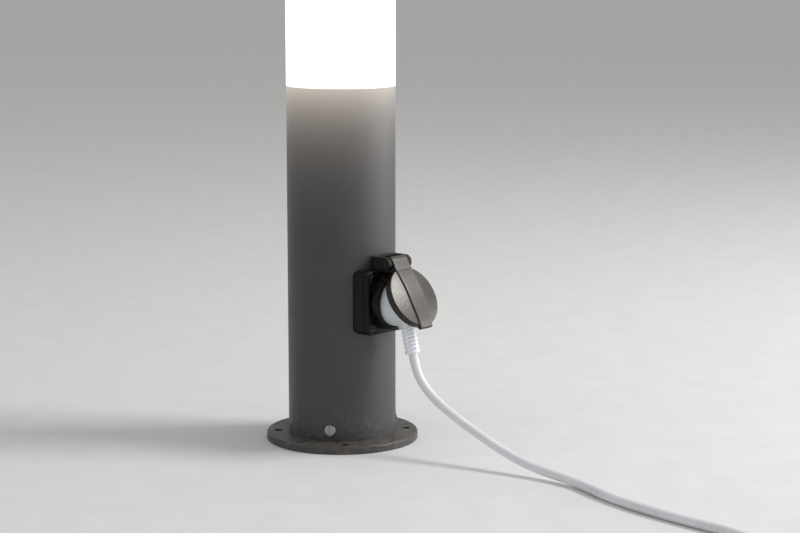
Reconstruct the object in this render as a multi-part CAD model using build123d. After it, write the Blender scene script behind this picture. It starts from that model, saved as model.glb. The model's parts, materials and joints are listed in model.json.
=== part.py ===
"""Garden socket post: a round aluminium tube on a bolted foot, with a hinged-lid power
socket on its side and an opal lamp head on top. An angled plug with its lead sits in the
socket and props the lid open. Millimetres, +Z up, origin at the centre of the foot's
underside. The socket faces -Y."""

import os
from math import cos, pi, radians, sin, sqrt, tan

from build123d import *

# Clearances
SLIDE_GAP = 0.2
SEAT_GAP = 0.1
LID_GAP = 0.3
RUNNING_GAP = 0.05
OVERRUN = 5.0

# Tube
TUBE_D = 85.0
TUBE_WALL = 2.5
TUBE_TOP = 280.0

# Foot
PLATE_D = 120.0
PLATE_T = 6.0
PLATE_EDGE = 1.5
SPIGOT_H = 34.0
SPIGOT_WALL = 4.0
FIXING_INSET = 9.0
FIXING_HOLE_D = 6.6
FIXING_COUNT = 4
FIXING_TURN = 45.0
ENTRY_HOLE_D = 24.0
ENTRY_BORE_D = 14.0
GROMMET_LIP = 3.0
GROMMET_LIP_T = 2.0
FOOT_SCREW_D = 5.0
FOOT_SCREW_L = 8.0
FOOT_SCREW_HEAD_D = 9.0
FOOT_SCREW_HEAD_H = 2.2
FOOT_SCREW_Z = 15.0
FOOT_SCREW_COUNT = 3
EARTH_STUD_D = 5.0
EARTH_STUD_H = 14.0
EARTH_NUT_AF = 8.0
EARTH_NUT_H = 4.0
EARTH_STUD_X = -28.0
EARTH_STUD_Y = -5.0
LUG_T = 1.0
LUG_R = 5.0
LUG_BARREL_L = 7.0

# Socket: depths are measured from the tube's axis, heights from the socket's axis
SOCKET_HEIGHT = 116.0
FLANGE_SIZE = 50.0
FLANGE_CORNER = 5.0
FLANGE_T = 4.2
FLANGE_EDGE = 1.0
SADDLE_STAND = 3.0
GASKET_T = 0.8
GASKET_INSET = 0.6
SCREW_PITCH = 38.0
SOCKET_SCREW_D = 3.5
SOCKET_SCREW_HEAD_D = 7.0
SOCKET_SCREW_HEAD_H = 2.2
SOCKET_SCREW_L = 17.0
SCREW_SLOT_W = 1.0
SCREW_SLOT_T = 0.8
HEAD_ROUND_SHARE = 0.4
COLLAR_R = 22.3
COLLAR_BORE_R = 19.8
COLLAR_LENGTH = 7.5
COLLAR_EDGE = 0.6
RECESS_DEPTH = 17.5
FLOOR_T = 2.5
CUP_R = 21.5
PIN_PITCH = 19.0
PIN_D = 4.8
PIN_L = 19.0
GUIDE_W = 3.6
GUIDE_IN = 1.5

# Hinge block on the flange's top edge
BLOCK_W = 27.0
BLOCK_BACK = 43.2
BLOCK_TOP = 35.5
BLOCK_EDGE = 0.8
EAR_T = 3.9
EAR_R = 5.5
PIVOT_RISE = 30.0
HINGE_PIN_D = 3.0

# Lid, drawn shut: its disc hangs PIVOT_RISE below the hinge pin
LID_R = 24.5
LID_FACE_R = 22.9
LID_SKIRT_T = 1.5
LID_SHOULDER = 5.3
LID_RIM_DROP = 1.5
LID_CROWN = 2.2
LID_WALL = 2.0
SEAL_T = 1.2
SEAL_W = 3.8
KNUCKLE_R = 5.0
KNUCKLE_GAP = 0.5
STRAP_W = 18.0
STRAP_END_W = 14.0
STRAP_STRAIGHT = 38.0
STRAP_END = 56.5
STRAP_RAISE = 1.3
STRAP_WRAP_R = 6.4
STRAP_WRAP_ANGLE = 42.0
STRAP_DRAFT = 2.5
NECK_SPREAD = 20.0
GROOVE_AT = 8.6
GROOVE_W = 0.9
GROOVE_T = 0.4
GROOVE_SHY = 1.6
SPRING_SLOT = 8.6
LID_OPEN = 30.0

# Lid spring
SPRING_WIRE = 0.8
SPRING_R = 2.6
SPRING_TURNS = 4.5
SPRING_PITCH = 1.35
SPRING_LEG = 3.6

# Rear housing of the socket
HOUSING_R = 21.2
HOUSING_WALL = 1.6
SLEEVE_WALL = 0.8
CAGE_SIZE = 7.6
CAGE_L = 7.6
CAGE_WIRE_D = 3.2
CAGE_SCREW_D = 2.6
CAGE_SCREW_HEAD_D = 4.6
CAGE_SCREW_HEAD_H = 2.0
CAGE_SCREW_UP = 2.4
CLIP_W = 5.5
CLIP_T = 0.8
CLIP_REACH = 13.0

# Plug
PLUG_R = 18.7
PLUG_BACK = 77.0
PLUG_BACK_R = 7.0
PLUG_EDGE = 1.6
PLUG_SLOT_W = 7.4
PLUG_SLOT_T = 1.7
STRIP_W = 6.0
STRIP_T = 0.8
STRIP_L = 12.0
CHEEK_W = 5.2
CHEEK_T = 2.2
RELIEF_TILT = 14.3
RELIEF_DEPTH = 69.2
RELIEF_DROP = 19.1
BOSS_R = 7.4
BOSS_L = 16.0
RELIEF_L = 20.0
RELIEF_R = 5.8
RELIEF_CORE_R = 4.7
RELIEF_RIBS = 6
RELIEF_RIB_SHARE = 0.55

# Lead
CORD_D = 7.0
TURN_PITCH = 7.7
COIL_MID_R = 39.0
COIL_IN_TURNS = 2.5417
COIL_X = -30.0
COIL_Y = -492.0
COIL_ENTRY_ANGLE = 150.0
CLIMB_TURNS = 0.5
LAYER_RISE = 7.55
CORNER_SHARE = 0.45

# Coupler on the lead's far end
COUPLER_R = 22.2
COUPLER_L = 52.0
COUPLER_NECK_R = 9.5
COUPLER_WAIST_R = 17.0
COUPLER_RELIEF_L = 30.0
COUPLER_EDGE = 1.0
GRIP_COUNT = 14
GRIP_T = 0.8
GRIP_L = 20.0

# Terminal bracket inside the tube
BRACKET_W = 34.0
BRACKET_T = 1.5
BRACKET_H = 52.0
BRACKET_FOOT = 14.0
BRACKET_Y = 17.0
BRACKET_SCREW_D = 3.0
BRACKET_SCREW_L = 6.0
BRACKET_SCREW_HEAD_D = 5.6
BRACKET_SCREW_SHARE = 0.6
BLOCK_POLES = 3
POLE_PITCH = 10.0
POLE_DEPTH = 15.0
POLE_H = 18.0
POLE_Z = 42.0
POLE_SCREW_D = 3.0
POLE_SCREW_H = 1.2
POLE_EDGE = 1.0
WIRE_D = 2.4
EARTH_WIRE_SIDE_SHARES = (0.8, 0.25)
EARTH_WIRE_RISE_SHARES = (0.35, 0.65)
EARTH_WIRE_BACK_SHARE = 0.9
LAMP_LEAD_D = 6.0
LAMP_LEAD_RISE_SHARES = (0.3, 0.6)

# Lamp head
COLLAR_H = 16.0
COLLAR_WALL = 4.0
NECK_H = 12.0
HEAD_SEAL_T = 0.6
TRAY_T = 2.0
LEDGE_W = 5.0
TRAY_SCREW_D = 2.5
TRAY_SCREW_HEAD_D = 4.6
TRAY_SCREW_L = 6.0
HEAD_SCREW_D = 4.0
HEAD_SCREW_L = 5.5
HEAD_SCREW_DROP = 9.0
HEAD_SCREW_ANGLES = (60.0, 120.0)
DIFFUSER_WALL = 3.0
DIFFUSER_H = 150.0
CAP_T = 16.0
CAP_CROWN = 3.0
CAP_EDGE = 1.5
CAP_SPIGOT_H = 9.0
CAP_SPIGOT_WALL = 3.0
CAP_SEAL_R = 1.0
HOLDER_R = 19.0
HOLDER_BASE_R = 15.0
HOLDER_H = 42.0
HOLDER_WALL = 2.6
HOLDER_FLOOR = 14.0
LAMP_THREAD_R = 13.1
LAMP_CAP_H = 24.0
LAMP_BODY_H = 42.0
LAMP_NECK_R = 14.0
GLOBE_R = 30.0
GLOBE_NECK_SHARE = 0.94

# Worked out from the sizes above
FIXING_PCD = PLATE_D - 2 * FIXING_INSET
TUBE_R = TUBE_D / 2
TUBE_BORE_R = TUBE_R - TUBE_WALL
SPIGOT_R = TUBE_BORE_R - SLIDE_GAP
SADDLE_FRONT = TUBE_R + SADDLE_STAND
FLANGE_BACK = SADDLE_FRONT + GASKET_T
FLANGE_FRONT = FLANGE_BACK + FLANGE_T
COLLAR_FRONT = FLANGE_FRONT + COLLAR_LENGTH
PIVOT_DEPTH = FLANGE_FRONT + KNUCKLE_R + KNUCKLE_GAP
LID_SEAT = COLLAR_FRONT + SLIDE_GAP + SEAL_T - PIVOT_DEPTH
RECESS_FLOOR = COLLAR_FRONT - RECESS_DEPTH
CUP_BACK = RECESS_FLOOR - FLOOR_T
CUP_HOLE_R = CUP_R + SLIDE_GAP
HALF_FLANGE = FLANGE_SIZE / 2
PIN_X = PIN_PITCH / 2
PIN_HOLE_R = PIN_D / 2 + SLIDE_GAP
EAR_INNER = BLOCK_W / 2 - EAR_T
LID_SKIRT_R = LID_R - LID_SKIRT_T
PLUG_FRONT = RECESS_FLOOR + LID_GAP
CORD_R = CORD_D / 2
COIL_OUT_R = COIL_MID_R + TURN_PITCH * COIL_IN_TURNS / 2
HEAD_BASE = TUBE_TOP + HEAD_SEAL_T
DIFFUSER_TOP = HEAD_BASE + DIFFUSER_H
DIFFUSER_BORE_R = TUBE_R - DIFFUSER_WALL
NECK_R = DIFFUSER_BORE_R - SLIDE_GAP
BASE_ALIGN = (Align.CENTER, Align.CENTER, Align.MIN)

# The socket's own frame: x to the side, y up, z outwards from the tube's axis
SOCKET = Location(Plane(origin=(0, 0, SOCKET_HEIGHT), x_dir=(1, 0, 0), z_dir=(0, -1, 0)))
# The lid's own frame: the same directions from the hinge pin, turned to the rest position
HINGE = SOCKET * Pos(0, PIVOT_RISE, PIVOT_DEPTH)
LID_FRAME = HINGE * Rot(-LID_OPEN, 0, 0)


def drum(radius, low, high):
    """Solid cylinder on the local Z axis between two heights."""
    return Pos(0, 0, low) * Cylinder(radius, high - low, align=BASE_ALIGN)


def ring(outer, inner, low, high):
    """Tube on the local Z axis between two heights."""
    return drum(outer, low, high) - drum(inner, low - OVERRUN, high + OVERRUN)


def slab(width, height, low, high):
    """Box centred on the local Z axis between two heights."""
    return Pos(0, 0, low) * Box(width, height, high - low, align=BASE_ALIGN)


def turned(profile):
    """Solid turned about the local Z axis from a closed outline of radius and height."""
    return revolve(Plane.XZ * profile, axis=Axis.Z)


def outline(*points):
    """Closed polygon through the points, where they are."""
    return make_face(Polyline(*points, close=True))


def side_cut(profile, width):
    """Solid of the given width from an outline of height and depth, seen from the side."""
    return extrude(Plane.YZ * profile, amount=width / 2, both=True)


def screw(shank_d, length, head_d, head_h, slot=True):
    """Screw along local Z: its head sits above zero and its shank below."""
    body = drum(head_d / 2, 0, head_h) + drum(shank_d / 2, -length, 0)
    top = body.edges().sort_by(Axis.Z)[-1]
    body = fillet(top, head_h * HEAD_ROUND_SHARE)
    if slot:
        body -= slab(head_d, SCREW_SLOT_W, head_h - SCREW_SLOT_T, head_h + OVERRUN)
    return body


def radial(angle, height):
    """Frame whose Z points outwards from the tube at an angle and a height."""
    return Pos(0, 0, height) * Rot(0, 0, angle) * Rot(0, 90, 0)


# Foot and tube
def foot_screw_angles():
    return [90 + turn * 360 / FOOT_SCREW_COUNT for turn in range(FOOT_SCREW_COUNT)]


def base_plate():
    plate = drum(PLATE_D / 2, 0, PLATE_T)
    plate = fillet(plate.edges().sort_by(Axis.Z)[-1], PLATE_EDGE)
    plate += ring(SPIGOT_R, SPIGOT_R - SPIGOT_WALL, PLATE_T, PLATE_T + SPIGOT_H)
    hole = drum(FIXING_HOLE_D / 2, -OVERRUN, PLATE_T + OVERRUN)
    plate -= PolarLocations(FIXING_PCD / 2, FIXING_COUNT, FIXING_TURN) * hole
    plate -= drum(ENTRY_HOLE_D / 2, -OVERRUN, PLATE_T + OVERRUN)
    tapped = drum(FOOT_SCREW_D / 2 + SEAT_GAP, SPIGOT_R - SPIGOT_WALL - OVERRUN, TUBE_R)
    for angle in foot_screw_angles():
        plate -= radial(angle, FOOT_SCREW_Z) * tapped
    for place in bracket_screw_places():
        plate -= place * drum(BRACKET_SCREW_D / 2 + SEAT_GAP, -PLATE_T, OVERRUN)
    return plate


def entry_grommet():
    bore = ENTRY_BORE_D / 2
    lip = ENTRY_HOLE_D / 2 + GROMMET_LIP
    body = ring(ENTRY_HOLE_D / 2 - SEAT_GAP, bore, SEAT_GAP, PLATE_T + GROMMET_LIP_T)
    return body + ring(lip, bore, PLATE_T, PLATE_T + GROMMET_LIP_T)


def foot_screws():
    one = Pos(0, 0, TUBE_R + SEAT_GAP) * screw(
        FOOT_SCREW_D, FOOT_SCREW_L, FOOT_SCREW_HEAD_D, FOOT_SCREW_HEAD_H)
    return [radial(angle, FOOT_SCREW_Z) * one for angle in foot_screw_angles()]


def post_tube():
    tube = ring(TUBE_R, TUBE_BORE_R, PLATE_T, TUBE_TOP)
    tube -= SOCKET * drum(CUP_HOLE_R, 0, TUBE_R + OVERRUN)
    hole = drum(SOCKET_SCREW_D / 2 + SEAT_GAP, 0, TUBE_R + OVERRUN)
    tube -= SOCKET * GridLocations(SCREW_PITCH, SCREW_PITCH, 2, 2) * hole
    hole = drum(FOOT_SCREW_D / 2 + SEAT_GAP, 0, TUBE_R + OVERRUN)
    for angle in foot_screw_angles():
        tube -= radial(angle, FOOT_SCREW_Z) * hole
    hole = drum(HEAD_SCREW_D / 2 + SEAT_GAP, 0, TUBE_R + OVERRUN)
    for angle in HEAD_SCREW_ANGLES:
        tube -= radial(angle, TUBE_TOP - HEAD_SCREW_DROP) * hole
    return tube


# Socket
def screw_corners(shape):
    return [SOCKET * spot * shape for spot in GridLocations(SCREW_PITCH, SCREW_PITCH, 2, 2)]


def flange_plate(size, near, far):
    corner = FLANGE_CORNER - (FLANGE_SIZE - size) / 2
    return extrude(Pos(0, 0, near) * RectangleRounded(size, size, corner), far - near)


def socket_saddle():
    """Moulded plinth: flat in front, hollowed behind to the tube's curve."""
    body = flange_plate(FLANGE_SIZE, 0, SADDLE_FRONT)
    body -= drum(CUP_HOLE_R, 0, SADDLE_FRONT + OVERRUN)
    hole = drum(SOCKET_SCREW_D / 2 + SEAT_GAP, 0, SADDLE_FRONT + OVERRUN)
    body -= GridLocations(SCREW_PITCH, SCREW_PITCH, 2, 2) * hole
    return SOCKET * body - drum(TUBE_R + SEAT_GAP, 0, TUBE_TOP)


def socket_gasket():
    sheet = flange_plate(FLANGE_SIZE - 2 * GASKET_INSET, SADDLE_FRONT, FLANGE_BACK)
    sheet -= drum(CUP_HOLE_R, 0, FLANGE_BACK + OVERRUN)
    hole = drum(SOCKET_SCREW_D / 2 + SEAT_GAP, 0, FLANGE_BACK + OVERRUN)
    return SOCKET * (sheet - GridLocations(SCREW_PITCH, SCREW_PITCH, 2, 2) * hole)


def hinge_block():
    """Block behind the lid with two round-nosed ears for the hinge pin."""
    top = BLOCK_TOP
    low = PIVOT_RISE - EAR_R
    ear = outline((low, FLANGE_BACK), (top, FLANGE_BACK), (top, PIVOT_DEPTH), (low, PIVOT_DEPTH))
    ear += Pos(PIVOT_RISE, PIVOT_DEPTH) * Circle(EAR_R)
    ears = side_cut(ear, BLOCK_W) - side_cut(
        outline((low - OVERRUN, FLANGE_FRONT), (top + OVERRUN, FLANGE_FRONT),
                (top + OVERRUN, PIVOT_DEPTH + EAR_R + OVERRUN),
                (low - OVERRUN, PIVOT_DEPTH + EAR_R + OVERRUN)), 2 * EAR_INNER)
    back_low = HALF_FLANGE + LID_GAP
    back = outline((back_low, BLOCK_BACK), (top, BLOCK_BACK), (top, FLANGE_FRONT),
                   (back_low, FLANGE_FRONT))
    foot = outline((low - FLANGE_EDGE, FLANGE_BACK), (top, FLANGE_BACK),
                   (top, FLANGE_FRONT), (low - FLANGE_EDGE, FLANGE_FRONT))
    body = ears + side_cut(back, BLOCK_W) + side_cut(foot, BLOCK_W)
    body = fillet(body.edges().filter_by(Axis.Z).group_by(Axis.X)[0], BLOCK_EDGE)
    body = fillet(body.edges().filter_by(Axis.Z).group_by(Axis.X)[-1], BLOCK_EDGE)
    pin_hole = Pos(0, PIVOT_RISE, PIVOT_DEPTH) * Rot(0, 90, 0) * Cylinder(
        HINGE_PIN_D / 2 + RUNNING_GAP, BLOCK_W + OVERRUN)
    return body - pin_hole


def clip_slots(low, high, gap):
    """The two slots that the earth clip's arms pass, above and below the axis."""
    across = 2 * (PLUG_R + gap)
    slot = slab(CLIP_W + 2 * gap, across, low, high)
    return slot - slab(CLIP_W + 2 * gap + OVERRUN, 2 * (clip_inner() - gap), low, high)


def socket_body():
    """Flange, collar, recess and hinge block in one moulding."""
    body = flange_plate(FLANGE_SIZE, FLANGE_BACK, FLANGE_FRONT)
    body = fillet(body.edges().group_by(Axis.Z)[-1], FLANGE_EDGE)
    collar = drum(COLLAR_R, FLANGE_FRONT - FLANGE_T / 2, COLLAR_FRONT)
    collar = fillet(collar.edges().group_by(Axis.Z)[-1], COLLAR_EDGE)
    body += collar + drum(CUP_R, CUP_BACK, FLANGE_BACK + FLANGE_T / 2)
    body += hinge_block()
    body -= drum(COLLAR_BORE_R, RECESS_FLOOR, COLLAR_FRONT + OVERRUN)
    guide_out = COLLAR_BORE_R + (COLLAR_R - COLLAR_BORE_R) / 2
    guide = slab(2 * guide_out, GUIDE_W, RECESS_FLOOR, FLANGE_FRONT)
    body += guide - slab(2 * (COLLAR_BORE_R - GUIDE_IN), GUIDE_W + OVERRUN,
                         RECESS_FLOOR - OVERRUN, FLANGE_FRONT + OVERRUN)
    for side in (-1, 1):
        body -= Pos(side * PIN_X, 0, 0) * drum(PIN_HOLE_R, CUP_BACK - OVERRUN, COLLAR_FRONT)
    body -= clip_slots(CUP_BACK - OVERRUN, RECESS_FLOOR + OVERRUN, SLIDE_GAP)
    shank = drum(SOCKET_SCREW_D / 2 + SEAT_GAP, FLANGE_BACK - OVERRUN, FLANGE_FRONT + OVERRUN)
    sink = drum(SOCKET_SCREW_HEAD_D / 2 + SLIDE_GAP,
                FLANGE_FRONT - SOCKET_SCREW_HEAD_H + SCREW_SLOT_T / 2, FLANGE_FRONT + OVERRUN)
    body -= GridLocations(SCREW_PITCH, SCREW_PITCH, 2, 2) * (shank + sink)
    return SOCKET * body


def socket_screws():
    seat = FLANGE_FRONT - SOCKET_SCREW_HEAD_H + SCREW_SLOT_T / 2
    one = screw(SOCKET_SCREW_D, SOCKET_SCREW_L, SOCKET_SCREW_HEAD_D, SOCKET_SCREW_HEAD_H)
    return screw_corners(Pos(0, 0, seat) * one)


def clip_inner():
    """Distance from the socket's axis to the earth clip's rubbing face."""
    return PLUG_R - PLUG_SLOT_T + STRIP_T + SLIDE_GAP


def earth_clip():
    """Sprung strip: two arms into the recess, a bridge behind its floor and a clamp."""
    bridge = CUP_BACK - SLIDE_GAP - CLIP_T
    tip = RECESS_FLOOR + CLIP_REACH
    inner = clip_inner()
    strip = outline((-inner - CLIP_T, bridge), (inner + CLIP_T, bridge), (inner + CLIP_T, tip),
                    (inner, tip), (inner, bridge + CLIP_T), (-inner, bridge + CLIP_T),
                    (-inner, tip), (-inner - CLIP_T, tip))
    corners = strip.vertices().group_by(Axis.Y)[0]
    body = side_cut(fillet(corners, CLIP_T / 2), CLIP_W)
    tail = slab(CLIP_W, CLIP_T, cage_front() - SLEEVE_WALL, bridge + CLIP_T / 2)
    return SOCKET * (body + tail + cage())


def cage_front():
    """Front face of the terminal clamps, behind the contact sleeves."""
    return PLUG_FRONT - PIN_L - SLEEVE_WALL - LID_GAP


def cage():
    """Brass clamp with a hole for the wire behind and one for its screw above."""
    front = cage_front()
    body = slab(CAGE_SIZE, CAGE_SIZE, front - CAGE_L, front)
    body -= drum(CAGE_WIRE_D / 2, front - CAGE_L - OVERRUN, front - CAGE_L / 3)
    screw_way = Pos(0, 0, front - CAGE_L / 2) * Rot(-90, 0, 0) * drum(
        CAGE_SCREW_D / 2 + SEAT_GAP, 0, CAGE_SIZE)
    return body - screw_way


def pin_contact(side):
    """Split sleeve for one plug pin with its wire clamp."""
    outer = PIN_HOLE_R + SLEEVE_WALL
    front = CUP_BACK - SLIDE_GAP
    sleeve = drum(outer, cage_front() - SLEEVE_WALL, front) + cage()
    sleeve -= drum(PIN_HOLE_R, cage_front() + SLEEVE_WALL, front + OVERRUN)
    return SOCKET * Pos(side * PIN_X, 0, 0) * sleeve


def socket_housing():
    """Moulded carrier that holds the contacts behind the recess."""
    front = CUP_BACK - SEAT_GAP
    back = cage_front() - CAGE_L - HOUSING_WALL
    body = drum(HOUSING_R, back, front)
    sleeve = drum(PIN_HOLE_R + SLEEVE_WALL + SLIDE_GAP, cage_front() - OVERRUN, front + OVERRUN)
    pocket = slab(CAGE_SIZE + 2 * SLIDE_GAP, CAGE_SIZE + 2 * SLIDE_GAP,
                  back - OVERRUN, cage_front() + SLIDE_GAP)
    chute = Pos(0, HOUSING_R / 2, 0) * slab(
        CAGE_SCREW_HEAD_D + 2 * SLIDE_GAP, HOUSING_R, back - OVERRUN, cage_front() + SLIDE_GAP)
    for spot in (-PIN_X, 0, PIN_X):
        body -= Pos(spot, 0, 0) * (pocket + chute)
    for spot in (-PIN_X, PIN_X):
        body -= Pos(spot, 0, 0) * sleeve
    slot_depth = CLIP_T + 2 * SLIDE_GAP
    body -= slab(CLIP_W + 2 * SLIDE_GAP, 2 * HOUSING_R, front - slot_depth, front + OVERRUN)
    body -= slab(CLIP_W + 2 * SLIDE_GAP, CLIP_T + 2 * SLIDE_GAP,
                 cage_front() - SLIDE_GAP, front)
    return SOCKET * body


def terminal_screws():
    """The three clamp screws of the socket's wires."""
    level = cage_front() - CAGE_L / 2
    length = CAGE_SIZE / 2 + CAGE_SCREW_UP - CAGE_WIRE_D / 2
    one = Rot(-90, 0, 0) * Pos(0, 0, CAGE_SIZE / 2 + CAGE_SCREW_UP) * screw(
        CAGE_SCREW_D, length, CAGE_SCREW_HEAD_D, CAGE_SCREW_HEAD_H)
    return [SOCKET * Pos(spot, 0, level) * one for spot in (-PIN_X, 0, PIN_X)]


# Lid
def cap_ball(radius, rise):
    """Radius of the ball whose cap has the given radius and rise."""
    return (radius ** 2 + rise ** 2) / (2 * rise)


def crown_ball(lift):
    """Ball under the lid's crowned face, grown outwards by a lift."""
    radius = cap_ball(LID_FACE_R, LID_CROWN)
    centre = LID_SHOULDER + LID_CROWN - radius
    return Pos(0, -PIVOT_RISE, centre) * Sphere(radius + lift)


def lid_shell():
    """Crowned disc with a rounded rim, a skirt and a seat for the seal."""
    rim = LID_SHOULDER - LID_RIM_DROP
    top = LID_SHOULDER + LID_CROWN
    crown_mid = LID_FACE_R / 2
    ball = cap_ball(LID_FACE_R, LID_CROWN)
    mid_height = top - ball + sqrt(ball ** 2 - crown_mid ** 2)
    turn = (LID_R - LID_FACE_R) * (1 - cos(radians(45)))
    hollow_r = LID_SKIRT_R - SEAL_W - SLIDE_GAP
    edge = ThreePointArc((0, top), (crown_mid, mid_height), (LID_FACE_R, LID_SHOULDER))
    edge += ThreePointArc((LID_FACE_R, LID_SHOULDER),
                          (LID_R - turn, LID_SHOULDER - turn), (LID_R, rim))
    edge += Polyline((LID_R, rim), (LID_R, 0), (LID_SKIRT_R, 0), (LID_SKIRT_R, LID_SEAT),
                     (hollow_r, LID_SEAT), (hollow_r, LID_SHOULDER - LID_WALL / 2),
                     (0, top - LID_WALL), (0, top))
    return Pos(0, -PIVOT_RISE, 0) * turned(make_face(edge))


def strap_outline():
    """Front view of the strap: parallel sides that draw in towards a straight end."""
    wide, narrow = STRAP_W / 2, STRAP_END_W / 2
    shape = outline((-wide, 0), (-wide, -STRAP_STRAIGHT), (-narrow, -STRAP_END),
                    (narrow, -STRAP_END), (wide, -STRAP_STRAIGHT), (wide, 0))
    return fillet(shape.vertices().group_by(Axis.Y)[0], STRAP_RAISE)


def strap():
    """Raised strap from the hinge, over the crown, to the finger tab."""
    bar = extrude(strap_outline(), LID_SHOULDER + LID_CROWN + OVERRUN, taper=STRAP_DRAFT)
    over = bar & crown_ball(STRAP_RAISE)
    over -= crown_ball(-LID_WALL / 2)
    over -= Pos(0, -PIVOT_RISE, 0) * drum(LID_SKIRT_R, -OVERRUN, LID_SEAT)
    tab_low = LID_SHOULDER - LID_RIM_DROP - STRAP_RAISE
    tab_zone = Pos(0, -STRAP_END, tab_low) * Box(
        STRAP_W, 2 * (STRAP_END - PIVOT_RISE - LID_FACE_R), LID_CROWN + STRAP_RAISE + tab_low,
        align=BASE_ALIGN)
    tab = bar & tab_zone & crown_ball(STRAP_RAISE)
    return over + tab


def knuckle():
    """Barrel round the hinge pin, with the strap's wrap and the neck to the disc."""
    wide = STRAP_W / 2
    barrel = Rot(0, 90, 0) * Cylinder(KNUCKLE_R, STRAP_W)
    wrap = Rot(0, 90, 0) * Cylinder(STRAP_WRAP_R, STRAP_W)
    far = 2 * STRAP_WRAP_R
    lift = radians(STRAP_WRAP_ANGLE)
    wedge = side_cut(outline((0, 0), (far * sin(lift), far * cos(lift)), (0, far), (-far, far),
                             (-far, 0)), STRAP_W)
    neck_far = PIVOT_RISE - LID_SKIRT_R * cos(radians(NECK_SPREAD))
    neck = side_cut(outline((0, 0), (0, STRAP_WRAP_R), (-neck_far, STRAP_WRAP_R - SEAT_GAP),
                            (-neck_far, 0)), 2 * wide)
    return barrel + (wrap & wedge) + neck


def lid():
    body = lid_shell() + strap() + knuckle()
    body -= Pos(0, -PIVOT_RISE, 0) * drum(LID_SKIRT_R, -2 * OVERRUN, LID_SEAT)
    slot_back = KNUCKLE_R + STRAP_WRAP_R
    slot = Box(SPRING_SLOT, slot_back, slot_back)
    slot = Pos(0, 0, SPRING_R + SPRING_WIRE / 2 + LID_GAP - slot_back / 2) * slot
    body -= slot
    body -= Rot(0, 90, 0) * Cylinder(HINGE_PIN_D / 2 + RUNNING_GAP, STRAP_W + OVERRUN)
    groove_w = STRAP_W - 2 * GROOVE_SHY
    groove = Pos(0, -GROOVE_AT, LID_SHOULDER) * Box(
        groove_w, GROOVE_W, LID_CROWN + OVERRUN, align=BASE_ALIGN)
    body -= groove - crown_ball(STRAP_RAISE - GROOVE_T)
    return LID_FRAME * body


def lid_seal():
    outer = LID_SKIRT_R - SEAT_GAP
    seal = ring(outer, LID_SKIRT_R - SEAL_W, LID_SEAT - SEAL_T, LID_SEAT)
    return LID_FRAME * Pos(0, -PIVOT_RISE, 0) * seal


def hinge_pin():
    pin = Cylinder(HINGE_PIN_D / 2, BLOCK_W - 2 * BLOCK_EDGE)
    return HINGE * Rot(0, 90, 0) * pin


# Curves of the lid spring and the lead
def biarc(start, start_way, end, end_way):
    """Two arcs that leave start and reach end along the given unit directions."""
    chord = end - start
    ways = start_way + end_way
    along = chord.dot(ways)
    spread = 2 * (1 - start_way.dot(end_way))
    reach = (sqrt(along ** 2 + spread * chord.dot(chord)) - along) / spread
    first, last = start + start_way * reach, end - end_way * reach
    middle = (first + last) / 2
    way = (last - first).normalized()
    return [Edge.make_tangent_arc(start, start_way, middle),
            Edge.make_tangent_arc(middle, way, end)]


def wound(place, quarters):
    """Arcs along a winding, given its place as a function of the number of turns."""
    step = 1e-4
    spots = [turn / 4 for turn in range(int(quarters))] + [quarters / 4]
    points = [Vector(*place(spot)) for spot in spots]
    ways = [(Vector(*place(spot + step)) - Vector(*place(spot - step))).normalized()
            for spot in spots]
    edges = []
    for index in range(len(spots) - 1):
        edges += biarc(points[index], ways[index], points[index + 1], ways[index + 1])
    return edges, points, ways


def tube_along(edges, radius):
    """Round tube swept along joined edges."""
    path = Wire(edges)
    start = path.position_at(0)
    return sweep(Plane(start, z_dir=path.tangent_at(0)) * Circle(radius), path=path)


def least_gap(place, turns, width):
    """Smallest gap between a winding's own turns, measured on points along it."""
    count = 90
    spots = [turns * index / (int(turns) * count) for index in range(int(turns) * count + 1)]
    points = [place(spot) for spot in spots]
    skip = int(count * CORNER_SHARE)
    least = min(
        sqrt(sum((a - b) ** 2 for a, b in zip(points[i], points[j])))
        for i in range(len(points)) for j in range(i + skip, len(points)))
    return least - width


def spring_place(turns):
    """Point of the spring's wire after a number of turns, from front to back of the pin."""
    angle = pi + 2 * pi * turns
    along = (turns - SPRING_TURNS / 2) * SPRING_PITCH
    return (along, -SPRING_R * sin(angle), -SPRING_R * cos(angle))


def lid_spring():
    """Torsion spring round the hinge pin, drawn at rest."""
    edges, points, ways = wound(spring_place, SPRING_TURNS * 4)
    legs = [Line(points[0] - ways[0] * SPRING_LEG, points[0]),
            Line(points[-1], points[-1] + ways[-1] * SPRING_LEG)]
    return HINGE * tube_along([legs[0]] + edges + [legs[1]], SPRING_WIRE / 2)


# Plug
def relief_frame():
    """Frame of the plug's strain relief: Z runs out along the lead."""
    return SOCKET * Pos(0, -RELIEF_DROP, RELIEF_DEPTH) * Rot(90 - RELIEF_TILT, 0, 0)


def lid_plane_depth(height, gap):
    """Depth of the open lid's sealing face at a height above the socket's axis."""
    lean = radians(LID_OPEN)
    face = LID_SEAT - SEAL_T - gap
    down = (PIVOT_RISE + face * sin(lean) - height) / cos(lean)
    return PIVOT_DEPTH + face * cos(lean) + down * sin(lean)


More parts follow.
